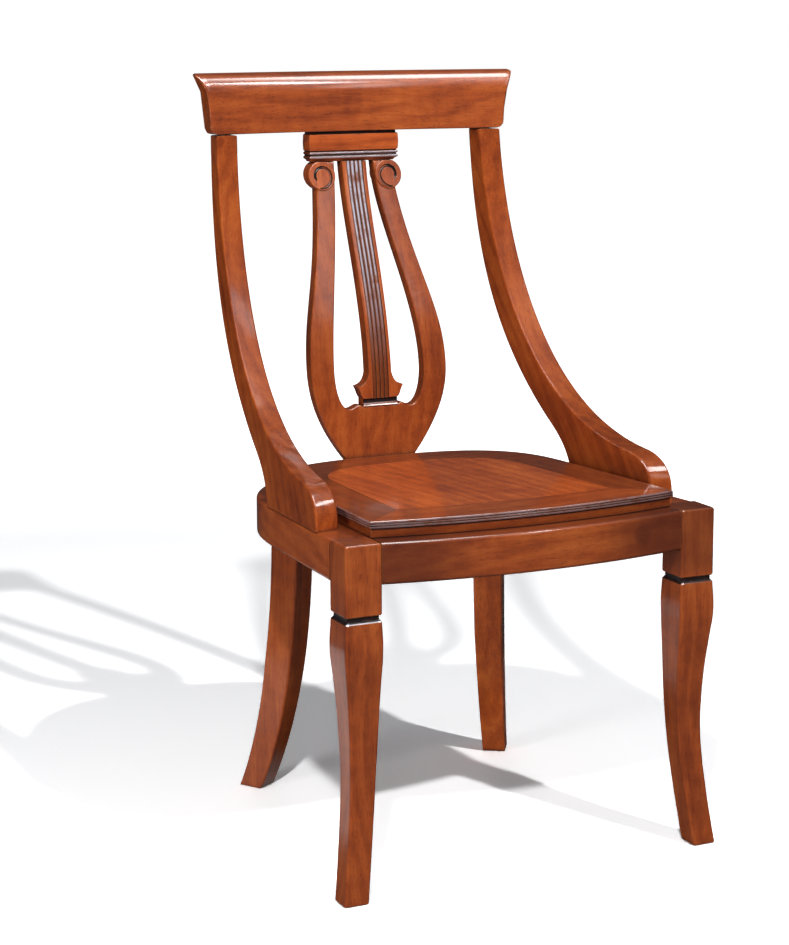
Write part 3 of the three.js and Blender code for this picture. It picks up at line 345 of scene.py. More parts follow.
@dataclass(frozen=True)
class LacqueredWood(Finish):
    """Reddish brown stained wood under a gloss lacquer.

    Attributes:
        seed: Which part of the boards the piece was cut from.
        knot: The middle of a round knot.
        gloss: Roughness of the lacquer.
        coat: How strongly the lacquer mirrors.
        depth: How light the stain is.
        shade: Axis, start, end and strength of a darkening towards both ends.
        highlight_band: Height where a painted pale highlight starts and where it is full, and its strength.
        dulled: Lowest and highest height of a stretch where the lacquer is rubbed thin.
        ridge_highlight: True if only what faces the front has the painted highlight.
        shine: How strongly the wood under the lacquer mirrors.
    """

    run: Run
    seed: int
    light: Place = (0.46, 0.108, 0.020)
    middle: Place = (0.325, 0.062, 0.0115)
    dark: Place = (0.170, 0.028, 0.0075)
    pore: Place = (0.060, 0.011, 0.005)
    # Colour of the lighter arrises: rubbed stain and painted highlight.
    worn_and_highlit: Place = (0.55, 0.21, 0.075)
    # Colour of the creases: glaze and painted shade.
    glaze_and_shade: Place = (0.014, 0.005, 0.004)
    # Colour of the painted highlight.
    highlight_tint: Place = (0.40, 0.40, 0.47)
    knot: Optional[Place] = None
    gloss: float = 0.10
    coat: float = 1.45
    depth: float = 1.0
    shade: Optional[tuple[int, float, float, float]] = None
    highlight_band: Optional[Place] = None
    dulled: Optional[Point] = None
    ridge_highlight: bool = False
    shine: float = 0.30

    def draw(self, sheet: Sheet) -> Wire:
        """Draw the grain, the marks, the worn edges and the lacquer.

        Args:
            sheet: The sheet to draw on.

        Returns:
            The shader.
        """
        place = sheet.grained(self.run, [step * self.seed for step in BOARD_STEP])
        blotch, ribbon, streak = (layer.on(sheet, place) for layer in (BLOTCH, RIBBON, STREAK))
        pores = PORES.on(sheet, place).between(*PORE_RANGE)
        bent = sheet.node("ShaderNodeTexWave", {"wave_type": "BANDS", "bands_direction": "DIAGONAL"}, {
            "Vector": sheet.scaled(place, (1.0, 1.0, 0.1)), "Scale": 26.0, "Distortion": 7.0,
            "Detail": 3.0, "Detail Scale": 1.6, "Detail Roughness": 0.6,
        }, 1)
        cloudy = (blotch - 0.5) * BLOTCH.share + (ribbon - 0.5) * RIBBON.share
        cloudy = cloudy + (bent - 0.5) * BENT_SHARE + (streak - 0.5) * STREAK.share
        tints = [tuple(c * self.depth for c in tint) for tint in (self.dark, self.middle, self.light)]
        stops = list(zip((0.0, 0.5, 1.0), tints))
        wood = sheet.node("ShaderNodeValToRGB", {"stops": stops}, {0: MEAN_TONE + cloudy})
        wood = sheet.mix(pores * PORE_DARK, wood, colour(*self.pore))
        wood = self._with_edges(sheet, self._with_marks(sheet, place, wood))
        bump = sheet.node("ShaderNodeBump", {}, {
            "Strength": 0.10, "Distance": 0.0004, "Height": streak * 0.5 - pores * 0.6 + blotch * 0.8,
        })
        return sheet.node("ShaderNodeBsdfPrincipled", {}, {
            "Base Color": wood, "Roughness": 0.34 + streak * 0.12, "Normal": bump,
            "Coat Weight": self._lacquer(sheet), "Coat Roughness": self.gloss, "Coat IOR": self.coat,
            "Specular IOR Level": self.shine,
        })

    def _with_marks(self, sheet: Sheet, place: Wire, wood: Wire) -> Wire:
        """Add the darker ends, the painted highlight and the knot that the piece has.

        Args:
            sheet: The material's sheet.
            place: Grained coordinates.
            wood: The colour so far.

        Returns:
            The colour with the marks.
        """
        if self.shade:
            axis, start, end, strength = self.shade
            reach = abs(sheet.along(axis)).between(start, end)
            wood = sheet.mix(reach * strength, wood, colour(*self.pore))
        # A painted pale highlight, patchy, over a band of heights; with ridge_highlight, only where the
        # surface faces the front.
        if self.highlight_band:
            low, high, strength = self.highlight_band
            cloud = sheet.noise(place, 60.0, 3.0, 0.6).between(*HIGHLIGHT_CLOUD)
            painted_pale = sheet.along(2).between(low, high) * strength * cloud
            if self.ridge_highlight:
                ahead = sheet.node("ShaderNodeSeparateXYZ", {}, {0: sheet.facing()}, 1) * -1.0
                painted_pale = painted_pale * ahead.between(*RIDGE_HIGHLIGHT_RANGE)
            wood = sheet.mix(painted_pale, wood, colour(*self.highlight_tint))
        if self.knot:
            wobble = sheet.noise(sheet.place(), 90.0, 2.0)
            reach = sheet.away_from(self.knot) + (wobble - 0.5) * KNOT_WOBBLE
            rings = (reach * KNOT_WAVES).sine()
            fade = 1.0 - reach.between(*KNOT_RANGE)
            wood = sheet.mix(fade * (KNOT_DARK + rings * KNOT_RINGS), wood, colour(*self.pore))
        return wood

    def _with_edges(self, sheet: Sheet, wood: Wire) -> Wire:
        """Lighten the arrises, partly rubbed stain and partly painted highlight, and darken the creases with
        glaze and painted shade.

        Args:
            sheet: The material's sheet.
            wood: The colour so far.

        Returns:
            The colour with lighter arrises and darker creases.
        """
        round_off = sheet.node("ShaderNodeBevel", {"samples": 4}, {"Radius": EDGE_RADIUS})
        turn = sheet.node(
            "ShaderNodeVectorMath", {"operation": "DOT_PRODUCT"}, {0: round_off, 1: sheet.facing()}, 1,
        )
        edge = (1.0 - turn).between(*EDGE_RANGE)
        open_air = sheet.node("ShaderNodeAmbientOcclusion", {"samples": 6}, {"Distance": CREASE_REACH}, 1)
        crease = 1.0 - open_air.between(*CREASE_RANGE)
        lightened = sheet.mix(edge * (1.0 - crease) * EDGE_WEAR_AND_HIGHLIGHT, wood, colour(*self.worn_and_highlit))
        return sheet.mix(crease * CREASE_DARK, lightened, colour(*self.glaze_and_shade))

    def _lacquer(self, sheet: Sheet) -> Any:
        """How much lacquer lies on the wood.

        Args:
            sheet: The material's sheet.

        Returns:
            A number, or a value that varies where a stretch is dulled.
        """
        if not self.dulled:
            return FULL_COAT
        low, high = self.dulled
        height = sheet.along(2)
        above = height.between(low - RUBBED_FADE_LOW, low + RUBBED_FADE_LOW)
        beyond = height.between(high - RUBBED_FADE_HIGH, high + RUBBED_FADE_HIGH)
        return FULL_COAT - RUBBED_OFF * above * (1.0 - beyond)


@dataclass(frozen=True)
class BlackGlazeAndShade(Finish):
    """Near black glaze that fills the turned and cut grooves, and painted shade under the crest and between
    reeds.
    """

    name: str = "black_glaze_and_shade"
    tint: Place = (0.012, 0.008, 0.008)
    thin: Place = (0.060, 0.018, 0.010)

    def draw(self, sheet: Sheet) -> Wire:
        """Draw a cloudy, half dull black.

        Args:
            sheet: The sheet to draw on.

        Returns:
            The shader.
        """
        cloud = sheet.noise(sheet.place(), 240.0, 3.0, 0.6)
        return sheet.node("ShaderNodeBsdfPrincipled", {}, {
            "Base Color": sheet.mix(cloud.between(0.5, 0.8), colour(*self.tint), colour(*self.thin)),
            "Roughness": 0.30 + cloud * 0.1, "Specular IOR Level": 0.2,
            "Coat Weight": 0.6, "Coat Roughness": 0.12,
        })


@dataclass(frozen=True)
class SawnWood(Finish):
    """Pale unfinished wood of blocks, dowels and loose tenons."""

    name: str = "sawn_wood"
    run: Run = Run.ACROSS
    shift: Place = (0.2, 0.4, 0.1)
    light: Place = (0.56, 0.38, 0.21)
    dark: Place = (0.34, 0.20, 0.10)

    def draw(self, sheet: Sheet) -> Wire:
        """Draw the streaks and the marks of the saw.

        Args:
            sheet: The sheet to draw on.

        Returns:
            The shader.
        """
        place = sheet.grained(self.run, self.shift)
        streak = sheet.noise(sheet.scaled(place, (1.0, 1.0, 0.06)), 260.0, 4.0, 0.6)
        saw = sheet.node("ShaderNodeTexWave", {"wave_type": "BANDS", "bands_direction": "Z"}, {
            "Vector": place, "Scale": 160.0, "Distortion": 1.5,
        }, 1)
        bump = sheet.node("ShaderNodeBump", {}, {
            "Strength": 0.3, "Distance": 0.0003, "Height": streak + saw * 0.4,
        })
        return sheet.node("ShaderNodeBsdfPrincipled", {}, {
            "Base Color": sheet.mix(streak, colour(*self.dark), colour(*self.light)),
            "Roughness": 0.72 + streak * 0.1, "Normal": bump,
        })


@dataclass(frozen=True)
class ZincSteel(Finish):
    """Bright plated steel of the screws."""

    name: str = "zinc_steel"
    tint: Place = (0.62, 0.62, 0.60)
    stain: Place = (0.46, 0.42, 0.33)

    def draw(self, sheet: Sheet) -> Wire:
        """Draw the plating with its stains.

        Args:
            sheet: The sheet to draw on.

        Returns:
            The shader.
        """
        cloud = sheet.noise(sheet.place(), 420.0, 3.0, 0.6)
        return sheet.node("ShaderNodeBsdfPrincipled", {}, {
            "Base Color": sheet.mix(cloud.between(0.45, 0.75), colour(*self.tint), colour(*self.stain)),
            "Roughness": 0.22 + cloud * 0.25, "Metallic": 1.0,
        })


@dataclass(frozen=True)
class FloorPaper(Finish):
    """White paper that shows soft grey shadows to the camera and is grey to the rays that light the chair."""

    name: str = "paper_floor"
    seen: Place = (1.64, 1.64, 1.65)
    lighting: Place = (0.40, 0.40, 0.40)
    gloss_dark: Place = (0.05, 0.05, 0.05)
    light_pool_tint: Place = (0.75, 0.75, 0.75)
    light_pool_spot: Place = (-0.50, 0.42, 0.0)
    light_pool_reach: Point = (0.36, 0.50)
    middle: Place = (-0.3, 0.5, 0.0)
    shadow_reach: Point = (1.25, 2.2)

    def draw(self, sheet: Sheet) -> Wire:
        """Draw the paper, with a glow for the camera alone beyond the shadows.

        Args:
            sheet: The sheet to draw on.

        Returns:
            The shader.
        """
        camera = sheet.ray("Is Camera Ray")
        # A painted pool of light on the paper, seen only in the gloss: pale near a spot left of the chair,
        # dark elsewhere.
        near = 1.0 - sheet.away_from(self.light_pool_spot).between(*self.light_pool_reach)
        in_gloss = sheet.mix(near, colour(*self.gloss_dark), colour(*self.light_pool_tint))
        unseen = sheet.mix(sheet.ray("Is Glossy Ray"), colour(*self.lighting), in_gloss)
        white = sheet.mix(camera, unseen, colour(*self.seen))
        paper = sheet.node("ShaderNodeBsdfDiffuse", {}, {"Color": white})
        far = camera * sheet.away_from(self.middle).between(*self.shadow_reach)
        lift = sheet.mix(far, colour(0.0, 0.0, 0.0), colour(1.0, 1.0, 1.0))
        glow = sheet.node("ShaderNodeEmission", {}, {"Color": lift, "Strength": 1.0})
        return sheet.node("ShaderNodeAddShader", {}, {0: paper, 1: glow})


# The wood of the column's reeds and of the line on the right front leg, with a painted pale highlight on its
# ridges.
HIGHLIGHT_GLOSS = LacqueredWood(
    "bead_wood", Run.LYRE, 47, depth=0.5, gloss=0.15, coat=2.2, highlight_band=(0.55, 0.76, 0.95), ridge_highlight=True,
)
# The wood of the capital's two reeds, with a painted pale highlight on what faces the front.
REED_GLOSS = LacqueredWood(
    "reed_wood", Run.ACROSS, 49, depth=0.42, gloss=0.15, coat=2.1, highlight_band=(0.57, 0.76, 0.50), ridge_highlight=True,
)
# A painted highlight: the bright line under the black groove of the left front leg.
LINE_HIGHLIGHT = LacqueredWood(
    "line_wood", Run.UPRIGHT, 48, (0.62, 0.57, 0.60), (0.50, 0.45, 0.48), (0.34, 0.30, 0.32),
    gloss=0.12, coat=2.5,
)
# The darker wood of the two beads on the seat's board, and the wood of the bead over them, each with a
# painted pale highlight.
BOARD_BEAD = LacqueredWood(
    "board_wood", Run.ACROSS, 71, depth=0.3, gloss=0.20, coat=1.8, highlight_band=(0.40, 0.42, 0.18),
)
EDGE_BEAD = LacqueredWood(
    "edge_wood", Run.ACROSS, 72, depth=0.5, gloss=0.20, coat=1.8, highlight_band=(0.40, 0.42, 0.25),
)


def spread(first: float, last: float, steps: int) -> list[float]:
    """Equal steps from one value to another, both ends included."""
    return [first + (last - first) * i / steps for i in range(steps + 1)]


def arc(centre: Point, radius: float, start: float, end: float, steps: int) -> list[Point]:
    """Points along a round arc.

    Args:
        centre: Its centre.
        radius: Its radius.
        start: Angle of its first point, in degrees.
        end: Angle of its last point.
        steps: Number of equal steps.

    Returns:
        The points, both ends included.
    """
    angles = [math.radians(degrees) for degrees in spread(start, end, steps)]
    return [(centre[0] + radius * math.cos(a), centre[1] + radius * math.sin(a)) for a in angles]


def cubic(points: Sequence[Point], share: float) -> Point:
    """A point of a cubic curve.

    Args:
        points: Its four control points.
        share: Share of the way along, 0 to 1.

    Returns:
        The point.
    """
    rest = 1.0 - share
    weights = (rest ** 3, 3 * rest ** 2 * share, 3 * rest * share ** 2, share ** 3)
    return tuple(sum(w * p[k] for w, p in zip(weights, points)) for k in (0, 1))


def curve(points: Sequence[Point], steps: int) -> list[Point]:
    """Points along a cubic curve, both ends included."""
    return [cubic(points, share) for share in spread(0.0, 1.0, steps)]


def at_height(points: Sequence[Point], height: float) -> float:
    """First coordinate of a cubic curve where its second has a value.

    Args:
        points: Control points of a curve that only rises or only falls.
        height: The value.

    Returns:
        The first coordinate there.
    """
    rising = points[3][1] > points[0][1]
    low, high = 0.0, 1.0
    for _ in range(HALVINGS):
        half = (low + high) / 2
        if (cubic(points, half)[1] < height) == rising:
            low = half
        else:
            high = half
    return cubic(points, (low + high) / 2)[0]


def through(pairs: Sequence[Point], height: float) -> float:
    """Value at a height on a smooth curve through (value, height) pairs.

    Args:
        pairs: The pairs, from low to high.
        height: The height.

    Returns:
        The value.
    """
    last = len(pairs) - 1
    index = 0
    while index < last - 1 and height > pairs[index + 1][1]:
        index += 1
    low, high = pairs[index], pairs[index + 1]
    before = pairs[max(index - 1, 0)]
    after = pairs[min(index + 2, last)]
    span = high[1] - low[1]
    share = (height - low[1]) / span
    slope_low = (high[0] - before[0]) / (high[1] - before[1]) * span
    slope_high = (after[0] - low[0]) / (after[1] - low[1]) * span
    cube, square = share ** 3, share ** 2
    return (
        (2 * cube - 3 * square + 1) * low[0] + (cube - 2 * square + share) * slope_low
        + (3 * square - 2 * cube) * high[0] + (cube - square) * slope_high
    )


def eased_box(low: Point, high: Point, ease: float) -> list[Point]:
    """A rectangle with rounded corners.

    Args:
        low: Its lowest corner.
        high: Its highest corner.
        ease: Radius of the corners.

    Returns:
        The outline, anticlockwise.
    """
    corners = (
        (high[0] - ease, low[1] + ease, -90.0), (high[0] - ease, high[1] - ease, 0.0),
        (low[0] + ease, high[1] - ease, 90.0), (low[0] + ease, low[1] + ease, 180.0),
    )
    return [point for x, y, start in corners for point in arc((x, y), ease, start, start + 90.0, 4)]


def mirrored(points: Sequence[Point]) -> list[Point]:
    """The other half of an outline that is alike left and right."""
    return [(-x, y) for x, y in reversed(points)]


def all_of(shape: bmesh.types.BMesh) -> list[Any]:
    """Every corner, edge and face of a shape."""
    return [*shape.verts, *shape.edges, *shape.faces]


def loft(name: str, loops: Sequence[Loop]) -> bpy.types.Mesh:
    """A closed mesh through loops with the same number of points.

    Args:
        name: The mesh's name.
        loops: The loops, from one end to the other.

    Returns:
        The mesh.
    """
    count = len(loops[0])
    points = [tuple(p) for loop in loops for p in loop]
    faces = []
    for j in range(len(loops) - 1):
        for i in range(count):
            a, b = j * count + i, j * count + (i + 1) % count
            faces.append((a, b, b + count, a + count))
    faces.append(tuple(reversed(range(count))))
    faces.append(tuple(range((len(loops) - 1) * count, len(loops) * count)))
    mesh = bpy.data.meshes.new(name)
    mesh.from_pydata(points, [], faces)
    return mesh


def board(
    name: str, outline: Sequence[Point], thick: float, arris: float, levels: Sequence[float],
) -> bpy.types.Mesh:
    """A flat board in the XZ plane with rounded arrises, cut across at levels so that it can be bent.

    Args:
        name: The mesh's name.
        outline: Its outline as (x, z).
        thick: Thickness along Y.
        arris: Radius of the long edges.
        levels: Heights of the cuts.

    Returns:
        The mesh, with its front at Y zero.
    """
    shape = bmesh.new()
    front = shape.faces.new([shape.verts.new((x, 0.0, z)) for x, z in outline])
    grown = bmesh.ops.extrude_face_region(shape, geom=[front])
    moved = [v for v in grown["geom"] if isinstance(v, bmesh.types.BMVert)]
    bmesh.ops.translate(shape, verts=moved, vec=(0.0, thick, 0.0))
    bmesh.ops.recalc_face_normals(shape, faces=shape.faces)
    long_edges = [e for e in shape.edges if abs(e.verts[0].co.y - e.verts[1].co.y) < arris / 10]
    bmesh.ops.bevel(
        shape, geom=long_edges, offset=arris, segments=3, profile=0.5, affect="EDGES", clamp_overlap=True,
    )
    bmesh.ops.triangulate(shape, faces=[f for f in shape.faces if len(f.verts) > 4])
    for level in levels:
        bmesh.ops.bisect_plane(shape, geom=all_of(shape), plane_co=(0, 0, level), plane_no=(0, 0, 1))
    mesh = bpy.data.meshes.new(name)
    shape.to_mesh(mesh)
    shape.free()
    return mesh


def joined(name: str, parts: Sequence[bpy.types.Mesh]) -> bpy.types.Mesh:
    """Join meshes into one, keeping the finish of each.

    Args:
        name: The new mesh's name.
        parts: The meshes.

    Returns:
        The joined mesh.
    """
    looks: list[bpy.types.Material] = []
    shape = bmesh.new()
    for part in parts:
        before = len(shape.faces)
        looks += [look for look in part.materials if look not in looks]
        slots = [looks.index(look) for look in part.materials]
        shape.from_mesh(part)
        shape.faces.ensure_lookup_table()
        for face in shape.faces[before:]:
            face.material_index = slots[min(face.material_index, len(slots) - 1)]
    mesh = bpy.data.meshes.new(name)
    shape.to_mesh(mesh)
    shape.free()
    for look in looks:
        mesh.materials.append(look)
    return mesh


def painted(
    mesh: bpy.types.Mesh, looks: Sequence[bpy.types.Material], choose: Optional[Chooser] = None,
) -> bpy.types.Mesh:
    """Give a mesh its materials.

    Args:
        mesh: The mesh.
        looks: Its materials.
        choose: Says from a face's middle and normal which of them it takes; without it, the first.

    Returns:
        The same mesh.
    """
    mesh.materials.clear()
    for look in looks:
        mesh.materials.append(look)
    for face in mesh.polygons:
        face.material_index = int(choose(face.center, face.normal)) if choose else 0
    return mesh


class Tree:
    """A geometry node tree with named inputs."""

    def __init__(self, name: str, inputs: dict[str, str]) -> None:
        """Open the tree.

        Args:
            name: The tree's name.
            inputs: The kind of socket of each named input.
        """
        self.group = bpy.data.node_groups.new(name, "GeometryNodeTree")
        face = self.group.interface
        face.new_socket("Geometry", in_out="OUTPUT", socket_type="NodeSocketGeometry")
        self.keys = {
            label: face.new_socket(label, in_out="INPUT", socket_type=f"NodeSocket{kind}").identifier
            for label, kind in inputs.items()
        }
        self.source = self.group.nodes.new("NodeGroupInput")
        self.result = self.group.nodes.new("NodeGroupOutput")

    def given(self, label: str) -> bpy.types.NodeSocket:
        """The socket of a named input."""
        return self.source.outputs[label]

    def node(self, kind: str, settings: dict[str, Any], inputs: dict[Any, Any]) -> bpy.types.NodeSocket:
        """Add one node.

        Args:
            kind: The node's type.
            settings: Its properties, set first.
            inputs: Values or sockets, by name or number.

        Returns:
            The node's first output.
        """
        made = self.group.nodes.new(kind)
        for name, value in settings.items():
            setattr(made, name, value)
        for name, value in inputs.items():
            if isinstance(value, bpy.types.NodeSocket):
                self.group.links.new(value, made.inputs[name])
            else:
                made.inputs[name].default_value = value
        return made.outputs[0]

    def join(self, parts: Sequence[bpy.types.NodeSocket]) -> bpy.types.NodeSocket:
        """Join several geometries.

        Args:
            parts: The geometries.

        Returns:
            All of them as one.
        """
        made = self.group.nodes.new("GeometryNodeJoinGeometry")
        for part in parts:
            self.group.links.new(part, made.inputs[0])
        return made.outputs[0]

    def close(self, shape: bpy.types.NodeSocket) -> None:
        """End the tree with real geometry that has the material of the input Finish.

        Args:
            shape: The geometry.
        """
        real = self.node("GeometryNodeRealizeInstances", {}, {0: shape})
        done = self.node("GeometryNodeSetMaterial", {}, {"Geometry": real, "Material": self.given("Finish")})
        self.group.links.new(done, self.result.inputs[0])

    def grow(self, name: str, seed: bpy.types.Mesh, values: dict[str, Any]) -> bpy.types.Mesh:
        """Run the tree on a mesh.

        Args:
            name: Name of the result.
            seed: The mesh that the tree starts from.
            values: A value for each named input.

        Returns:
            The result as a plain mesh.
        """
        holder = bpy.data.objects.new(name, seed)
        bpy.context.scene.collection.objects.link(holder)
        rule = holder.modifiers.new(name, "NODES")
        rule.node_group = self.group
        for label, value in values.items():
            rule[self.keys[label]] = value
        graph = bpy.context.evaluated_depsgraph_get()
        mesh = bpy.data.meshes.new_from_object(holder.evaluated_get(graph), depsgraph=graph)
        bpy.data.objects.remove(holder)
        return mesh


class RodRows(Tree):
    """Rows of round rods that follow a path: beads and reeds."""

    sides: int = 24

    def __init__(self) -> None:
        """Build the tree."""
        super().__init__("rod_rows", {
            "Path": "Geometry", "Rows": "Int", "Step": "Vector", "Radius": "Float", "Finish": "Material",
        })
        path = self.node("GeometryNodeMeshToCurve", {}, {0: self.given("Path")})
        ring = self.node("GeometryNodeCurvePrimitiveCircle", {}, {
            "Resolution": self.sides, "Radius": self.given("Radius"),
        })
        rod = self.node("GeometryNodeCurveToMesh", {}, {0: path, 1: ring, "Fill Caps": True})
        rows = self.node("GeometryNodeMeshLine", {}, {
            "Count": self.given("Rows"), "Offset": self.given("Step"),
        })
        self.close(self.node("GeometryNodeInstanceOnPoints", {}, {"Points": rows, "Instance": rod}))

    def lay(
        self, name: str, path: Sequence[Sequence[float]], radius: float, finish: bpy.types.Material,
        rows: int = 1, step: Place = (0.0, 0.0, 0.0), closed: bool = False,
    ) -> bpy.types.Mesh:
        """Lay rods along a path.

        Args:
            name: Name of the mesh.
            path: Points of the first rod's centre line.
            radius: Radius of a rod.
            finish: Its material.
            rows: Number of rods.
            step: From one rod to the next.
            closed: True if the path runs back to its start.

        Returns:
            The rods.
        """
        count = len(path)
        links = [(i, (i + 1) % count) for i in range(count if closed else count - 1)]
        line = bpy.data.meshes.new(f"{name}_path")
        line.from_pydata([tuple(p) for p in path], links, [])
        return self.grow(name, line, {"Rows": rows, "Step": step, "Radius": radius, "Finish": finish})


class WoodScrew(Tree):
    """A countersunk wood screw along Z, with its tip at the origin."""

    sides: int = 24
    thread_steps: int = 20

    def __init__(self) -> None:
        """Build the tree."""
        sizes = ("Length", "Shank", "Root", "Head", "Head depth", "Threaded", "Tip", "Turns", "Ridge")
        super().__init__("wood_screw", {
            "Seed": "Geometry", **{label: "Float" for label in sizes}, "Finish": "Material",
        })
        length, shank, root, head, head_depth, threaded, tip, turns, ridge = (self.given(s) for s in sizes)
        helix = self.node("GeometryNodeCurveSpiral", {}, {
            "Resolution": self.thread_steps, "Rotations": turns, "Start Radius": root, "End Radius": root,
            "Height": self._less(threaded, tip),
        })
        section = self.node("GeometryNodeCurvePrimitiveCircle", {}, {"Resolution": 4, "Radius": ridge})
        thread = self.node("GeometryNodeCurveToMesh", {}, {0: helix, 1: section, "Fill Caps": True})
        self.close(self.join([
            self._cone("Tip", 0.0, root, tip),
            self._lifted(self._cone("Rod", root, root, self._less(length, tip)), tip),
            self._lifted(self._cone("Neck", shank, shank, self._less(length, threaded)), threaded),
            self._lifted(self._cone("Head", shank, head, head_depth), self._less(length, head_depth)),
            self._lifted(thread, tip),
        ]))

    def _less(self, first: Any, second: Any) -> Any:
        """First value minus the second."""
        return self.node("ShaderNodeMath", {"operation": "SUBTRACT"}, {0: first, 1: second})

    def _lifted(self, shape: Any, rise: Any) -> Any:
        """A shape moved along Z."""
        lift = self.node("ShaderNodeCombineXYZ", {}, {"Z": rise})
        return self.node("GeometryNodeTransform", {}, {0: shape, "Translation": lift})

    def _cone(self, label: str, low: Any, high: Any, depth: Any) -> Any:
        """A cone or cylinder that stands on the origin.

        Args:
            label: The node's label.
            low: Radius at the bottom.
            high: Radius at the top.
            depth: Height.

        Returns:
            The mesh.
        """
        return self.node("GeometryNodeMeshCone", {"label": label}, {
            "Vertices": self.sides, "Radius Bottom": low, "Radius Top": high, "Depth": depth,
        })


class Workshop:
    """Makes and dresses the pieces."""

    def __init__(self) -> None:
        """Find the frame's shift from the drawing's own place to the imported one."""
        self.finishes: dict[str, bpy.types.Material] = {}
        self.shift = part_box("crest_rail")[1][1] / METRE - Crest().back_y
        self.made: list[bpy.types.Object] = []
        self.rods = RodRows()
        self.screw = WoodScrew()

    def finish(self, look: Finish) -> bpy.types.Material:
        """The material of a finish, made once.

        Args:
            look: A finish.

        Returns:
            Its material.
        """
        if look.name not in self.finishes:
            self.finishes[look.name] = look.make()
        return self.finishes[look.name]

    def place(self, mesh: bpy.types.Mesh, mirror: bool = False) -> bpy.types.Mesh:
        """Bring a mesh from the drawing, in millimetres, to the frame, in metres.

        Args:
            mesh: The mesh.
            mirror: True for the left one of a pair drawn on the right.

        Returns:
            The same mesh.
        """
        side = -METRE if mirror else METRE
        move = Matrix.Translation((0.0, self.shift * METRE, 0.0))
        mesh.transform(move @ Matrix.Diagonal((side, METRE, METRE, 1.0)))
        shape = bmesh.new()
        shape.from_mesh(mesh)
        bmesh.ops.remove_doubles(shape, verts=shape.verts, dist=MERGE_REACH)
        bmesh.ops.recalc_face_normals(shape, faces=shape.faces)
        shape.to_mesh(mesh)
        shape.free()
        return mesh

    def dress(
        self, name: str, mesh: bpy.types.Mesh, looks: Sequence[Finish] = (), choose: Optional[Chooser] = None,
        sharp: float = 38.0,
    ) -> None:
        """Make a piece that stands for the CAD node of the same name.

        Args:
            name: The node's name.
            mesh: The piece's mesh, in the frame.
            looks: Its finishes. Without any, the mesh keeps its own.
            choose: Says from a face's middle and normal which finish it takes.
            sharp: Angle past which an edge stays sharp, in degrees.
        """
        piece = bpy.data.objects.new(f"{name}_made", mesh)
        bpy.context.scene.collection.objects.link(piece)
        if looks:
            painted(mesh, [self.finish(look) for look in looks], choose)
        mesh.shade_smooth()
        mesh.set_sharp_from_angle(angle=math.radians(sharp))
        even = piece.modifiers.new("even normals", "WEIGHTED_NORMAL")
        even.keep_sharp = True
        even.weight = NORMAL_WEIGHT
        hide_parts(name)
        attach(piece, "root")
        self.made.append(piece)
        LOG.info("made %s: %d faces", name, len(mesh.polygons))

    def paint(self, name: str, look: Finish) -> None:
        """Give a CAD node that stays a finish.

        Args:
            name: The node's name.
            look: Its finish.
        """
        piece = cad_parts[name]
        piece.data.materials.clear()
        piece.data.materials.append(self.finish(look))
        LOG.info("painted %s", name)


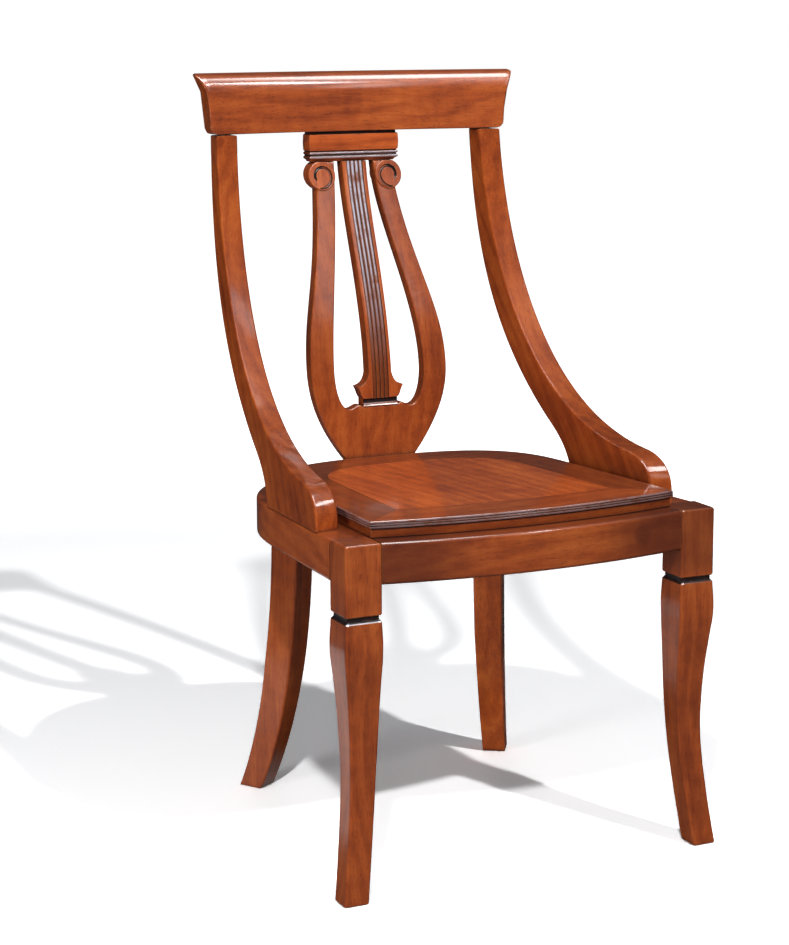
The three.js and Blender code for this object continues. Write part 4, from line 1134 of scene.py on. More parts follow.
@dataclass
class SeatFrame:
    """Front legs, back legs and the four rails; sizes in millimetres as on the drawing."""

    block_outer: float = 246.8
    block_front: float = -229.2
    block: float = 46.5
    top: float = 430.0
    top_ease: float = 3.0
    arris: float = 3.2
    sole_ease: float = 1.0
    groove_top: float = 345.0
    groove_bottom: float = 337.0
    groove_deep: float = 3.0
    groove_lip: float = 1.5
    groove_bevel: float = 3.3
    groove_line: float = 1.25
    # How squarely a face must face the front to take the painted highlight line.
    highlight_facing: float = 0.3
    slack: float = 0.1
    outside: tuple[Point, ...] = (
        (7.2, 0), (-1.1, 65), (-6.9, 125), (-8, 165), (-5.6, 225), (-1.8, 265), (1.5, 300), (0, 337),
    )
    inside: tuple[Point, ...] = (
        (24.3, 0), (32.6, 65), (39.2, 125), (43.3, 185), (45.4, 245), (47.4, 310), (46.5, 337),
    )
    rake: float = 0.024
    rail_height: float = 50.0
    rail_thick: float = 50.0
    rail_ease: float = 5.0
    taper: float = 0.0648
    bend_y: float = 20.0
    bend_x: float = 233.4
    back_y: float = 250.0
    power: float = 2.6
    joint_degrees: float = 49.0
    fit: float = 0.3
    front_thick: float = 38.0
    front_inset: float = 1.5
    front_bow: float = 24.0
    knot: Place = (138.0, -10.0, 409.0)
    leg_degrees: float = 57.0
    leg_x: float = 150.6
    leg_y: float = 148.5
    sweep: tuple[Point, ...] = ((0, 376), (0, 250), (14, 110), (63.6, 0))
    leg_depth: Place = (35.5, 42.0, 41.5)
    leg_width: Place = (31.5, 38.5, 40.3)

    def drop(self, y: float) -> float:
        """How far the seat frame has dropped at a depth."""
        return self.rake * (y - self.block_front)

    def sloped(self, outline: Sequence[Point], height: float) -> Loop:
        """An outline laid on the seat's slope, at a height over its front."""
        return [Vector((x, y, height - self.drop(y))) for x, y in outline]

    def build(self, shop: Workshop) -> None:
        """Make the legs and rails.

        Args:
            shop: The workshop.
        """
        # The right back leg is stained lighter than the left, which paints in light that falls on it.
        for side, mirror, seed, shade, back_stain_and_light, line in (
            ("left", True, 3, None, 0.88, LINE_HIGHLIGHT),
            ("right", False, 8, (2, 0.335, 0.365, 0.50), 1.45, HIGHLIGHT_GLOSS),
        ):
            front_wood = LacqueredWood(
                f"leg_wood_front_{side}", Run.UPRIGHT, seed, shade=shade, depth=0.76,
            )
            back_wood = LacqueredWood(f"leg_wood_back_{side}", Run.UPRIGHT, seed + 1, depth=back_stain_and_light)
            rail_wood = LacqueredWood(f"rail_wood_{side}", Run.DEEP, seed + 2)
            for name, loops, looks, choose in (
                (f"front_{side}_leg", self.front_leg(), [front_wood, BlackGlazeAndShade(), line], self.groove_look),
                (f"back_{side}_leg", self.back_leg(), [back_wood], None),
                (f"{side}_rail", self.side_rail(), [rail_wood], None),
            ):
                shop.dress(name, shop.place(loft(name, loops), mirror), looks, choose)
        across, ahead, rise = self.knot
        knot = (across * METRE, (self.block_front + shop.shift + ahead) * METRE, rise * METRE)
        front_wood = LacqueredWood(
            "rail_wood_front", Run.ACROSS, 12, knot=knot, shade=(0, 0.05, 0.17, 0.72), depth=0.76,
        )
        shop.dress("front_rail", shop.place(loft("front_rail", self.front_rail())), [front_wood])
        back_wood = LacqueredWood("rail_wood_back", Run.ACROSS, 14)
        shop.dress("back_rail", shop.place(loft("back_rail", self.back_rail())), [back_wood])

    def groove_look(self, middle: Vector, normal: Vector) -> int:
        """Choose a front leg's finish at one face.

        Args:
            middle: The face's middle.
            normal: Its normal.

        Returns:
            1 in the black groove, 2 on the painted highlight line under it where it faces the front, else 0.
        """
        rise = middle.z / METRE - self.groove_bottom
        if 0.0 < rise < self.groove_line and -normal.y > self.highlight_facing:
            return 2
        return int(0.0 < rise < self.groove_top + self.slack - self.groove_bottom)

    def front_leg(self) -> list[Loop]:
        """Sections of the right front leg, from the floor up.

        Returns:
            The sections.
        """
        levels = [
            (z, through(self.outside, z), through(self.inside, z), self.arris)
            for z in spread(0.0, self.groove_bottom, 40)[:-1]
        ]
        outside, inside, sole = self.outside[0][0], self.inside[0][0], self.sole_ease
        levels[:1] = [(0.0, outside - sole, inside - sole, self.arris), (sole, outside, inside, self.arris)]
        deep, lip = self.groove_deep, self.groove_lip
        sunk = deep * self.groove_line / self.groove_bevel
        levels += [
            (self.groove_bottom, 0.0, self.block, self.arris),
            (self.groove_bottom + self.groove_line, -sunk, self.block - sunk, self.arris),
            (self.groove_bottom + self.groove_bevel, -deep, self.block - deep, lip),
            (self.groove_top, -deep, self.block - deep, lip),
            (self.groove_top, -lip, self.block - lip, lip),
            (self.groove_top + lip, 0.0, self.block, self.arris),
        ]
        levels += [
            (z, out, self.block + out, self.arris)
            for out, z in arc((-self.top_ease, self.top - self.top_ease), self.top_ease, 0.0, 90.0, 4)
        ]
        loops = []
        for z, out, inner, ease in levels:
            low = (self.block_outer - inner, self.block_front - out)
            high = (self.block_outer + out, self.block_front + inner)
            loops.append([Vector((x, y, z)) for x, y in eased_box(low, high, ease)])
        return loops

    def back_leg(self) -> list[Loop]:
        """Sections of the right back leg, from the floor up.

        Returns:
            The sections.
        """
        angle = math.radians(self.leg_degrees)
        back = Vector((math.cos(angle), math.sin(angle)))
        side = Vector((-math.sin(angle), math.cos(angle)))
        top = self.sweep[0][1]
        loops = []
        for share in spread(0.0, 1.0, 36):
            level = top * share
            along = at_height(self.sweep, level)
            deep, wide = self._three(self.leg_depth, share), self._three(self.leg_width, share)
            loop = []
            for a, b in eased_box((0.0, 0.0), (deep, wide), self.arris):
                spot = Vector((self.leg_x, self.leg_y)) + back * (along + a) + side * b
                reach = self.top - self.rail_height - self.drop(spot.y) - self.fit
                loop.append(Vector((spot.x, spot.y, level * reach / top)))
            loops.append(loop)
        return loops

    @staticmethod
    def _three(values: Place, share: float) -> float:
        """A value between the foot's, the middle's and the top's.

        Args:
            values: The value at the foot, in the middle and at the top.
            share: Share of the way up.

        Returns:
            The value there.
        """
        if share < 0.5:
            return values[0] + (values[1] - values[0]) * share * 2
        return values[1] + (values[2] - values[1]) * (share * 2 - 1)

    def rail_point(self, turn: float) -> Vector:
        """A point of the outline of the curved rails.

        Args:
            turn: Its angle, from 0 at the side to a quarter turn at the back.

        Returns:
            The point in plan.
        """
        power = 2 / self.power
        y = self.bend_y + (self.back_y - self.bend_y) * max(math.sin(turn), 0.0) ** power
        half = self.bend_x - self.taper * (y - self.bend_y)
        return Vector((half * max(math.cos(turn), 0.0) ** power, y))

    def rail_inward(self, turn: float) -> Vector:
        """The direction into the seat from a point of that outline.

        Args:
            turn: The point's angle.

        Returns:
            The direction, one long.
        """
        step = math.radians(0.5)
        along = self.rail_point(min(turn + step, math.pi / 2)) - self.rail_point(max(turn - step, 0.0))
        along.normalize()
        return Vector((-along.y, along.x))

    def rail_loop(self, point: Vector, inward: Vector, thick: float) -> Loop:
        """One section of a rail.

        Args:
            point: Its place on the outer face.
            inward: The direction of its thickness.
            thick: Its thickness.

        Returns:
            The section.
        """
        low, high, ease = self.top - self.rail_height, self.top, self.rail_ease
        section = [(thick, low), (thick, high)]
        section += arc((ease, high - ease), ease, 90.0, 180.0, 5)
        section += arc((ease, low + ease), ease, 180.0, 270.0, 5)
        loop = []
        for deep, z in section:
            spot = point + inward * deep
            loop.append(Vector((spot.x, spot.y, z - self.drop(spot.y))))
        return loop

    def side_rail(self) -> list[Loop]:
        """Sections of the right rail, from the front leg to the joint over the back leg.

        Returns:
            The sections.
        """
        straight = Vector((-1.0, 0.0))
        loops = []
        for y in spread(self.block_front + self.block + self.fit, self.bend_y, 4)[:-1]:
            x = self.bend_x - self.taper * (y - self.bend_y)
            loops.append(self.rail_loop(Vector((x, y)), straight, self.rail_thick))
        joint = math.radians(self.joint_degrees)
        for turn in spread(0.0, joint, 22):
            inward = self.rail_inward(turn) if turn else straight
            gap = self.fit / 2 if turn == joint else 0.0
            point = self.rail_point(turn) - Vector((inward.y, -inward.x)) * gap
            loops.append(self.rail_loop(point, inward, self.rail_thick))
        return loops

    def back_rail(self) -> list[Loop]:
        """Sections of the back rail, from joint to joint.

        Returns:
            The sections.
        """
        joint = math.radians(self.joint_degrees)
        half = []
        for turn in spread(joint, math.pi / 2, 16)[:-1]:
            inward = self.rail_inward(turn)
            gap = self.fit / 2 if turn == joint else 0.0
            point = self.rail_point(turn) + Vector((inward.y, -inward.x)) * gap
            half.append(self.rail_loop(point, inward, self.rail_thick))
        middle = self.rail_loop(Vector((0.0, self.back_y)), Vector((0.0, -1.0)), self.rail_thick)
        other = [[Vector((-p.x, p.y, p.z)) for p in loop] for loop in reversed(half)]
        return [*half, middle, *other]

    def front_rail(self) -> list[Loop]:
        """Sections of the bowed front rail.

        Returns:
            The sections.
        """
        half = self.block_outer - self.block
        loops = []
        for x in spread(self.fit - half, half - self.fit, 40):
            y = self.block_front + self.front_inset - self.front_bow * (1 - (x / half) ** 2)
            loops.append(self.rail_loop(Vector((x, y)), Vector((0.0, 1.0)), self.front_thick))
        return loops


@dataclass
class Stile:
    """The swept side boards of the back; sizes in millimetres."""

    thick: float = 30.3
    plane: float = 245.8
    toe: float = 0.0648
    lean: float = 0.02532
    twist: float = 0.12
    arris: float = 3.0
    foot_front: float = -136.6
    foot_back: float = 48.8
    front: tuple[Point, ...] = ((266, 868.6), (251, 689), (147, 500), (-81, 479))
    nose: tuple[Point, ...] = ((-81, 479), (-106, 477), (-136.6, 467), (-136.6, 433))
    back: tuple[Point, ...] = ((295.8, 868.6), (288, 718), (249.5, 591), (95.5, 485.6))
    heel: tuple[Point, ...] = ((95.5, 485.6), (74, 471), (52, 452), (48.8, 424))

    def build(self, shop: Workshop, seat: SeatFrame) -> None:
        """Make both stiles.

        Args:
            shop: The workshop.
            seat: The seat frame that they stand on.
        """
        for side, mirror, seed in (("left", True, 21), ("right", False, 25)):
            wood = LacqueredWood(
                f"stile_wood_{side}", Run.STILE, seed, depth=0.86, dulled=(0.53, 0.84), shine=0.12,
            )
            shop.dress(f"{side}_stile", shop.place(self.mesh(f"{side}_stile", seat), mirror), [wood])

    def mesh(self, name: str, seat: SeatFrame) -> bpy.types.Mesh:
        """The board of the right stile.

        Args:
            name: The mesh's name.
            seat: The seat frame.

        Returns:
            The mesh on the drawing.
        """
        under = seat.top - seat.drop(self.foot_back) - self.arris * 2
        outline = [
            *curve(self.front, 44), *curve(self.nose, 16)[1:],
            (self.foot_front, under), (self.foot_back, under),
            *reversed(curve(self.heel, 14)[:-1]), *reversed(curve(self.back, 40)[:-1]),
        ]
        mesh = board(name, outline, self.thick, self.arris, [])
        mesh.transform(Matrix((
            (-self.toe, -1.0, -self.lean, self.plane), (1.0, self.twist, 0.0, 0.0),
            (0.0, 0.0, 1.0, 0.0), (0.0, 0.0, 0.0, 1.0),
        )))
        shape = bmesh.new()
        shape.from_mesh(mesh)
        foot = Vector((0.0, seat.block_front, seat.top + seat.fit))
        cut = bmesh.ops.bisect_plane(
            shape, geom=all_of(shape), plane_co=foot, plane_no=(0.0, seat.rake, 1.0), clear_inner=True,
        )
        rim = [e for e in cut["geom_cut"] if isinstance(e, bmesh.types.BMEdge)]
        bmesh.ops.holes_fill(shape, edges=rim, sides=0)
        shape.to_mesh(mesh)
        shape.free()
        return mesh


@dataclass
class Crest:
    """The curved top rail with its rolled edge and flared ends; sizes in millimetres."""

    half: float = 213.0
    bottom: float = 869.6
    top: float = 948.5
    end_y: float = 266.5
    hollow: float = 22.0
    thick: float = 30.0
    back_round: float = 6.0
    foot_ease: float = 2.0
    roll: tuple[Point, ...] = ((0, 922), (0.5, 936), (8, 945.5), (23, 948.5))
    flare: tuple[Point, ...] = ((213, 878.6), (214.2, 915), (217, 932), (232, 948.5))
    foot_round: float = 9.0
    tip_cut: float = 2.0
    end_ease: float = 2.5
    ease_shares: Point = (0.35, 0.45)

    @property
    def back_y(self) -> float:
        """Depth of the middle of the back face."""
        return self.end_y + self.hollow + self.thick

    @property
    def radius(self) -> float:
        """Radius of the front face in plan."""
        return (self.half ** 2 + self.hollow ** 2) / (2 * self.hollow)

    def reach(self, z: float) -> float:
        """Half length of the rail at a height.

        Args:
            z: The height.

        Returns:
            The half length.
        """
        if z < self.flare[0][1]:
            rest = self.foot_round - max(z - self.bottom, 0.0)
            return self.half - self.foot_round + math.sqrt(max(self.foot_round ** 2 - rest ** 2, 0.0))
        return min(at_height(self.flare, z), self.flare[3][0] - self.tip_cut)

    def profile(self) -> list[Point]:
        """The rail's section.

        Returns:
            Its points as (depth, height), from the front's foot over the top.
        """
        ease, edge = self.foot_ease, self.back_round
        low, high = self.bottom + ease, self.top - edge
        return [
            *arc((ease, low), ease, 270.0, 180.0, 3),
            *((0.0, z) for z in spread(low, self.roll[0][1], 12)[1:-1]),
            *curve(self.roll, 18), *arc((self.thick - edge, high), edge, 90.0, 0.0, 6),
            *((self.thick, z) for z in spread(high, low, 12)[1:-1]),
            *arc((self.thick - ease, low), ease, 0.0, -90.0, 3),
        ]

    def build(self, shop: Workshop) -> None:
        """Make the crest rail.

        Args:
            shop: The workshop.
        """
        profile = self.profile()
        centre = self.end_y + self.hollow - self.radius
        along, across = self.ease_shares
        ends = [(1.0, self.end_ease), (1.0 - along * self.end_ease / self.half, self.end_ease * across)]
        full = 1.0 - self.end_ease / self.half
        stations = [(-share, shrink) for share, shrink in ends]
        stations += [(share * full, 0.0) for share in spread(-1.0, 1.0, 60)] + ends[::-1]
        loops = []
        for share, shrink in stations:
            loop = []
            for deep, z in profile:
                far = self.radius + deep + (shrink if deep < self.thick / 2 else -shrink)
                height = min(max(z, self.bottom + shrink), self.top - shrink)
                angle = math.asin(share * self.reach(z) / (self.radius + deep))
                loop.append(Vector((far * math.sin(angle), centre + far * math.cos(angle), height)))
            loops.append(loop)
        wood = LacqueredWood("crest_wood", Run.ACROSS, 31, gloss=0.17, coat=1.95)
        shop.dress("crest_rail", shop.place(loft("crest_rail", loops)), [wood])


@dataclass
class Lyre:
    """The pierced splat with its volutes; sizes in millimetres."""

    thick: float = 18.0
    arris: float = 2.2
    side: tuple[Point, ...] = ((211.6, 510), (211.6, 662), (298.1, 761), (298.1, 866))
    top: float = 829.0
    bend_levels: Point = (520.0, 824.0)
    outer_low: tuple[Point, ...] = ((36, 419.7), (80, 471), (99.4, 513), (99.4, 560))
    outer_high: tuple[Point, ...] = ((99.4, 560), (99.4, 638), (70.5, 676), (57.5, 800))
    inner_high: tuple[Point, ...] = ((28.8, 829), (30, 745), (65.3, 643), (65.3, 558))
    inner_low: tuple[Point, ...] = ((65.3, 558), (65.3, 530), (57, 506), (45, 506))
    saddle: tuple[Point, ...] = ((45, 506), (38, 506), (36, 511), (29, 510.5))
    seat_z: float = 508.0
    neck_half: float = 25.5
    volute_x: float = 48.8
    volute_z: float = 811.0
    volute_radius: float = 19.4
    volute_proud: float = 2.2
    volute_ease: float = 1.6
    volute_rings: int = 56
    volute_spokes: int = 168
    spiral_start: float = 17.2
    spiral_end: float = 10.2
    spiral_power: float = 2.5
    spiral_wide: float = 4.2
    spiral_deep: float = 2.4
    spiral_from: float = -105.0
    spiral_turn: float = 320.0
    spiral_tip: float = 0.35
    spiral_opening: float = 6.0
    spiral_closing: float = 9.0
    spiral_fullness: float = 0.6
    glaze_share: float = 0.22

    def front_y(self, z: float) -> float:
        """Depth of the splat's front at a height."""
        return self.side[0][0] if z < self.side[0][1] else at_height(self.side, z)

    def bend(self, mesh: bpy.types.Mesh) -> bpy.types.Mesh:
        """Bend a flat board to the lyre's side view.

        Args:
            mesh: The board, with its front at Y zero.

        Returns:
            The same mesh.
        """
        for vertex in mesh.vertices:
            vertex.co.y += self.front_y(vertex.co.z)
        return mesh

    def build(self, shop: Workshop) -> None:
        """Make the splat.

        Args:
            shop: The workshop.
        """
        half = [
            *curve(self.outer_low, 26), *curve(self.outer_high, 34)[1:],
            (self.volute_x, self.volute_z), (self.volute_x, self.top),
            *curve(self.inner_high, 36), *curve(self.inner_low, 16)[1:], *curve(self.saddle, 8)[1:],
            (self.neck_half, self.seat_z),
        ]
        levels = spread(*self.bend_levels, 38)
        splat = board("lyre_splat", [*half, *mirrored(half)], self.thick, self.arris, levels)
        wood = shop.finish(LacqueredWood("lyre_wood", Run.LYRE, 41, gloss=0.16, depth=0.84))
        disc_wood = LacqueredWood("volute_wood", Run.LYRE, 44, gloss=0.4)
        scroll = [shop.finish(disc_wood), shop.finish(BlackGlazeAndShade())]
        parts = [painted(splat, [wood]), self.volute(1, scroll), self.volute(-1, scroll)]
        shop.dress("lyre_splat", shop.place(self.bend(joined("lyre_splat", parts))), sharp=50.0)

    def groove(self, radius: float, angle: float) -> float:
        """Depth of the spiral groove at a place of the volute.

        Args:
            radius: Distance from the volute's middle.
            angle: Angle from the inner side over the top, in degrees.

        Returns:
            The depth.
        """
        share = (angle - self.spiral_from) % 360 / self.spiral_turn
        if share > 1.0:
            return 0.0
        line = self.spiral_end + (self.spiral_start - self.spiral_end) * (1.0 - share) ** self.spiral_power
        opening = self.spiral_tip + share * self.spiral_opening
        closing = self.spiral_tip + (1.0 - share) * self.spiral_closing
        half = self.spiral_wide / 2 * min(1.0, opening, closing)
        away = abs(radius - line)
        if away >= half:
            return 0.0
        return self.spiral_deep * math.cos(away / half * math.pi / 2) ** self.spiral_fullness

    def volute(self, sign: int, looks: Sequence[bpy.types.Material]) -> bpy.types.Mesh:
        """One volute: a proud disc with a spiral groove.

        Args:
            sign: 1 for the right one, -1 for the left one.
            looks: Its wood and the glaze in its groove.

        Returns:
            The disc, unbent.
        """
        rings, spokes, ease = self.volute_rings, self.volute_spokes, self.volute_ease
        loops, cuts = [], []
        for radius in spread(0.0, self.volute_radius, rings)[1:]:
            edge = max(radius - (self.volute_radius - ease), 0.0)
            fall = ease - math.sqrt(max(ease ** 2 - edge ** 2, 0.0))
            loop = []
            for degrees in spread(0.0, 360.0, spokes)[:-1]:
                angle = math.radians(degrees)
                x = self.volute_x - radius * math.cos(angle)
                z = min(self.volute_z + radius * math.sin(angle), self.top)
                cuts.append(self.groove(radius, degrees))
                loop.append(Vector((sign * x, -self.volute_proud + fall + cuts[-1], z)))
            loops.append(loop)
        rim = [Vector((p.x, self.thick, p.z)) for p in loops[-1]]
        mesh = painted(loft("volute", [*loops, rim]), looks)
        for face in mesh.polygons[:(rings - 1) * spokes]:
            cut = (cuts[face.index] + cuts[face.index + spokes]) / 2
            face.material_index = int(cut > self.glaze_share * self.spiral_deep)
        return mesh


@dataclass
class Column:
    """The reeded column between the lyre's arms; sizes in millimetres."""

    thick: float = 17.0
    half: float = 17.6
    waist: Point = (16.4, 590.0)
    proud: float = 1.2
    low: float = 508.3
    sole: float = 0.8
    bevel_top: float = 512.5
    neck_top: float = 519.0
    neck_deep: float = 3.0
    ledge: float = 0.01
    horn: tuple[Point, ...] = ((25.5, 519), (29.5, 523), (29, 529), (33.5, 535))
    horn_top: tuple[Point, ...] = ((33.5, 535), (28, 536.5), (20, 537), (16.8, 553))
    tenon_half: float = 8.0
    tenon_levels: tuple[float, ...] = (-1.0, 4.0, 8.0, 12.0)
    tenon_set: float = 3.0
    tenon_ease: float = 0.5
    reeds: int = 4
    pitch: float = 6.0
    reed_radius: float = 3.5
    line_radius: float = 1.25
    line_sunk: float = 1.0
    reed_sunk: float = 0.2
    reed_start: float = 0.5
    reed_length: float = 308.0
    reed_end: float = 0.2
    slack: float = 0.1
    channel_deep: float = 2.6
    bed_share: float = 0.3
    arris: float = 1.0
    arris_share: float = 0.3

    @property
    def channel_half(self) -> float:
        """Half width of the channel that holds the reeds."""
        return self.reeds * self.pitch / 2

    def width(self, z: float) -> float:
        """Half width at a height.

        Args:
            z: The height.

        Returns:
            The half width.
        """
        if z <= self.neck_top:
            return self.horn[0][0]
        if z <= self.horn[3][1]:
            return at_height(self.horn, z)
        if z <= self.horn_top[3][1]:
            return at_height(self.horn_top, z)
        low, high = self.waist, (self.half, Lyre.top)
        if z < self.waist[1]:
            low, high = self.horn_top[3], self.waist
        return low[0] + (high[0] - low[0]) * (z - low[1]) / (high[1] - low[1])

    def core(self, lyre: Lyre) -> bpy.types.Mesh:
        """The column with its empty channel.

        Args:
            lyre: The splat whose side view it follows.

        Returns:
            The mesh on the drawing.
        """
        fine = spread(self.neck_top + 1.0, self.horn_top[3][1], 33)
        coarse = spread(self.horn_top[3][1] + 1.0, lyre.top - 5.0, 54)
        levels = [
            (self.low, 0.0, 0.0), (self.low + self.sole, 0.0, 0.0), (self.bevel_top, self.neck_deep, 0.0),
            (self.neck_top - self.ledge, self.neck_deep, 0.0),
            *((z, 0.0, self.channel_deep) for z in (self.neck_top, *fine, *coarse, lyre.top)),
        ]
        slope = self.arris * self.arris_share
        loops = []
        for z, cut, channel in levels:
            half, front = self.width(z), cut - self.proud
            left = [
                (-half, self.thick), (-half, front + self.arris), (-half + slope, front + slope),
                (-half + self.arris, front), (-self.channel_half, front),
                (-self.channel_half, front + channel),
            ]
            loops.append([Vector((x, y + lyre.front_y(z), z)) for x, y in [*left, *mirrored(left)]])
        return loft("lyre_column", loops)

    def build(self, shop: Workshop, lyre: Lyre) -> None:
        """Make the column with its reeds.

        Args:
            shop: The workshop.
            lyre: The splat whose side view it follows.
        """
        wood = shop.finish(LacqueredWood("column_wood", Run.LYRE, 47))
        glaze_and_shade, highlight_look = shop.finish(BlackGlazeAndShade()), shop.finish(HIGHLIGHT_GLOSS)
        stub = eased_box((-self.tenon_half, self.tenon_set), (self.tenon_half, self.thick), self.tenon_ease)
        heights = [lyre.top + rise for rise in self.tenon_levels]
        tenon = loft("tenon", [[Vector((x, lyre.front_y(z) + y, z)) for x, y in stub] for z in heights])

        def choose(middle: Vector, normal: Vector) -> int:
            """Choose the column's finish at one face.

            Args:
                middle: The face's middle.
                normal: Its normal; not used.

            Returns:
                2 on the bevel under the neck, 1 in the black of neck and channel, 0 on the wood.
            """
            deep = middle.y - lyre.front_y(middle.z)
            if deep >= self.thick / 2:
                return 0
            if self.low + self.sole < middle.z < self.bevel_top:
                return 2
            bed = deep + self.proud > self.bed_share * self.channel_deep
            inside = abs(middle.x) < self.channel_half - self.slack and middle.z > self.neck_top
            neck = self.bevel_top < middle.z < self.neck_top
            within = abs(middle.x) < self.horn[0][0] - self.arris / 2
            return int((inside and bed) or (neck and within))

        parts = [painted(self.core(lyre), [wood, glaze_and_shade, highlight_look], choose), painted(tenon, [wood])]
        start = self.neck_top - self.reed_start
        heights = [*spread(start, start + self.reed_length, 77), lyre.top - self.reed_end]
        # The reeds take a painted pale highlight; the black rods between them are glaze and painted shade.
        for centre, sunk, radius, count, look in (
            (self.pitch / 2 - self.channel_half, self.reed_sunk, self.reed_radius, self.reeds, highlight_look),
            (-self.channel_half, self.line_sunk, self.line_radius, self.reeds + 1, glaze_and_shade),
        ):
            path = [(centre, lyre.front_y(z) - self.proud + sunk + radius, z) for z in heights]
            parts.append(shop.rods.lay("reeds", path, radius, look, count, (self.pitch, 0.0, 0.0)))
        shop.dress("lyre_column", shop.place(joined("lyre_column", parts)), sharp=44.0)


@dataclass
class Capital:
    """The moulded block under the crest rail; sizes in millimetres."""

    half: float = 65.4
    front_y: float = 292.5
    thick: float = 24.0
    arris: float = 1.0
    low: float = 829.3
    # Profile from the bottom up, as (rise, inset of front and ends).
    profile: tuple[Point, ...] = (
        (0.0, 5.0), (0.6, 4.95), (1.2, 4.7), (2.0, 4.1), (2.9, 3.0), (3.6, 1.9), (4.0, 1.1), (4.4, 0.7),
        (5.1, 0.35), (5.8, 0.3), (6.5, 0.5), (7.1, 0.9), (7.5, 1.6), (8.0, 2.3), (9.0, 2.3), (9.5, 1.4),
        (9.9, 0.8), (10.6, 0.4), (11.3, 0.3), (12.0, 0.5), (12.6, 0.9), (13.0, 1.6), (13.4, 2.3),
        (14.1, 2.3), (14.5, 1.2), (15.2, 0.6), (19.0, 0.3), (25.0, 0.0), (31.0, 0.3), (35.4, 0.6),
        (36.3, 1.2), (36.7, 2.6), (37.5, 3.0), (40.0, 3.0),
    )
    # Heights painted black: glaze in the grooves and painted shade in the recess under the crest rail.
    black: tuple[Point, ...] = ((-0.1, 0.9), (7.5, 9.3), (13.0, 14.3), (36.4, 40.1))
    # Heights of the reeds that take the painted highlight.
    painted_pale: tuple[Point, ...] = ((3.9, 7.5), (9.4, 13.0))

    def band_look(self, middle: Vector, normal: Vector) -> int:
        """Choose the capital's finish at one face.

        Args:
            middle: The face's middle.
            normal: Its normal; not used.

        Returns:
            1 in the black lines, 2 on the reeds, else 0.
        """
        rise = middle.z / METRE - self.low
        if any(low < rise < high for low, high in self.black):
            return 1
        return 2 if any(low < rise < high for low, high in self.painted_pale) else 0

    def build(self, shop: Workshop) -> None:
        """Make the capital.

        Args:
            shop: The workshop.
        """
        loops = []
        for rise, inset in self.profile:
            low = (-self.half + inset, self.front_y + inset)
            high = (self.half - inset, self.front_y + self.thick)
            loops.append([Vector((x, y, self.low + rise)) for x, y in eased_box(low, high, self.arris)])
        looks = [LacqueredWood("capital_wood", Run.ACROSS, 52, depth=1.25), BlackGlazeAndShade(), REED_GLOSS]
        shop.dress("lyre_capital", shop.place(loft("lyre_capital", loops)), looks, self.band_look, sharp=60.0)


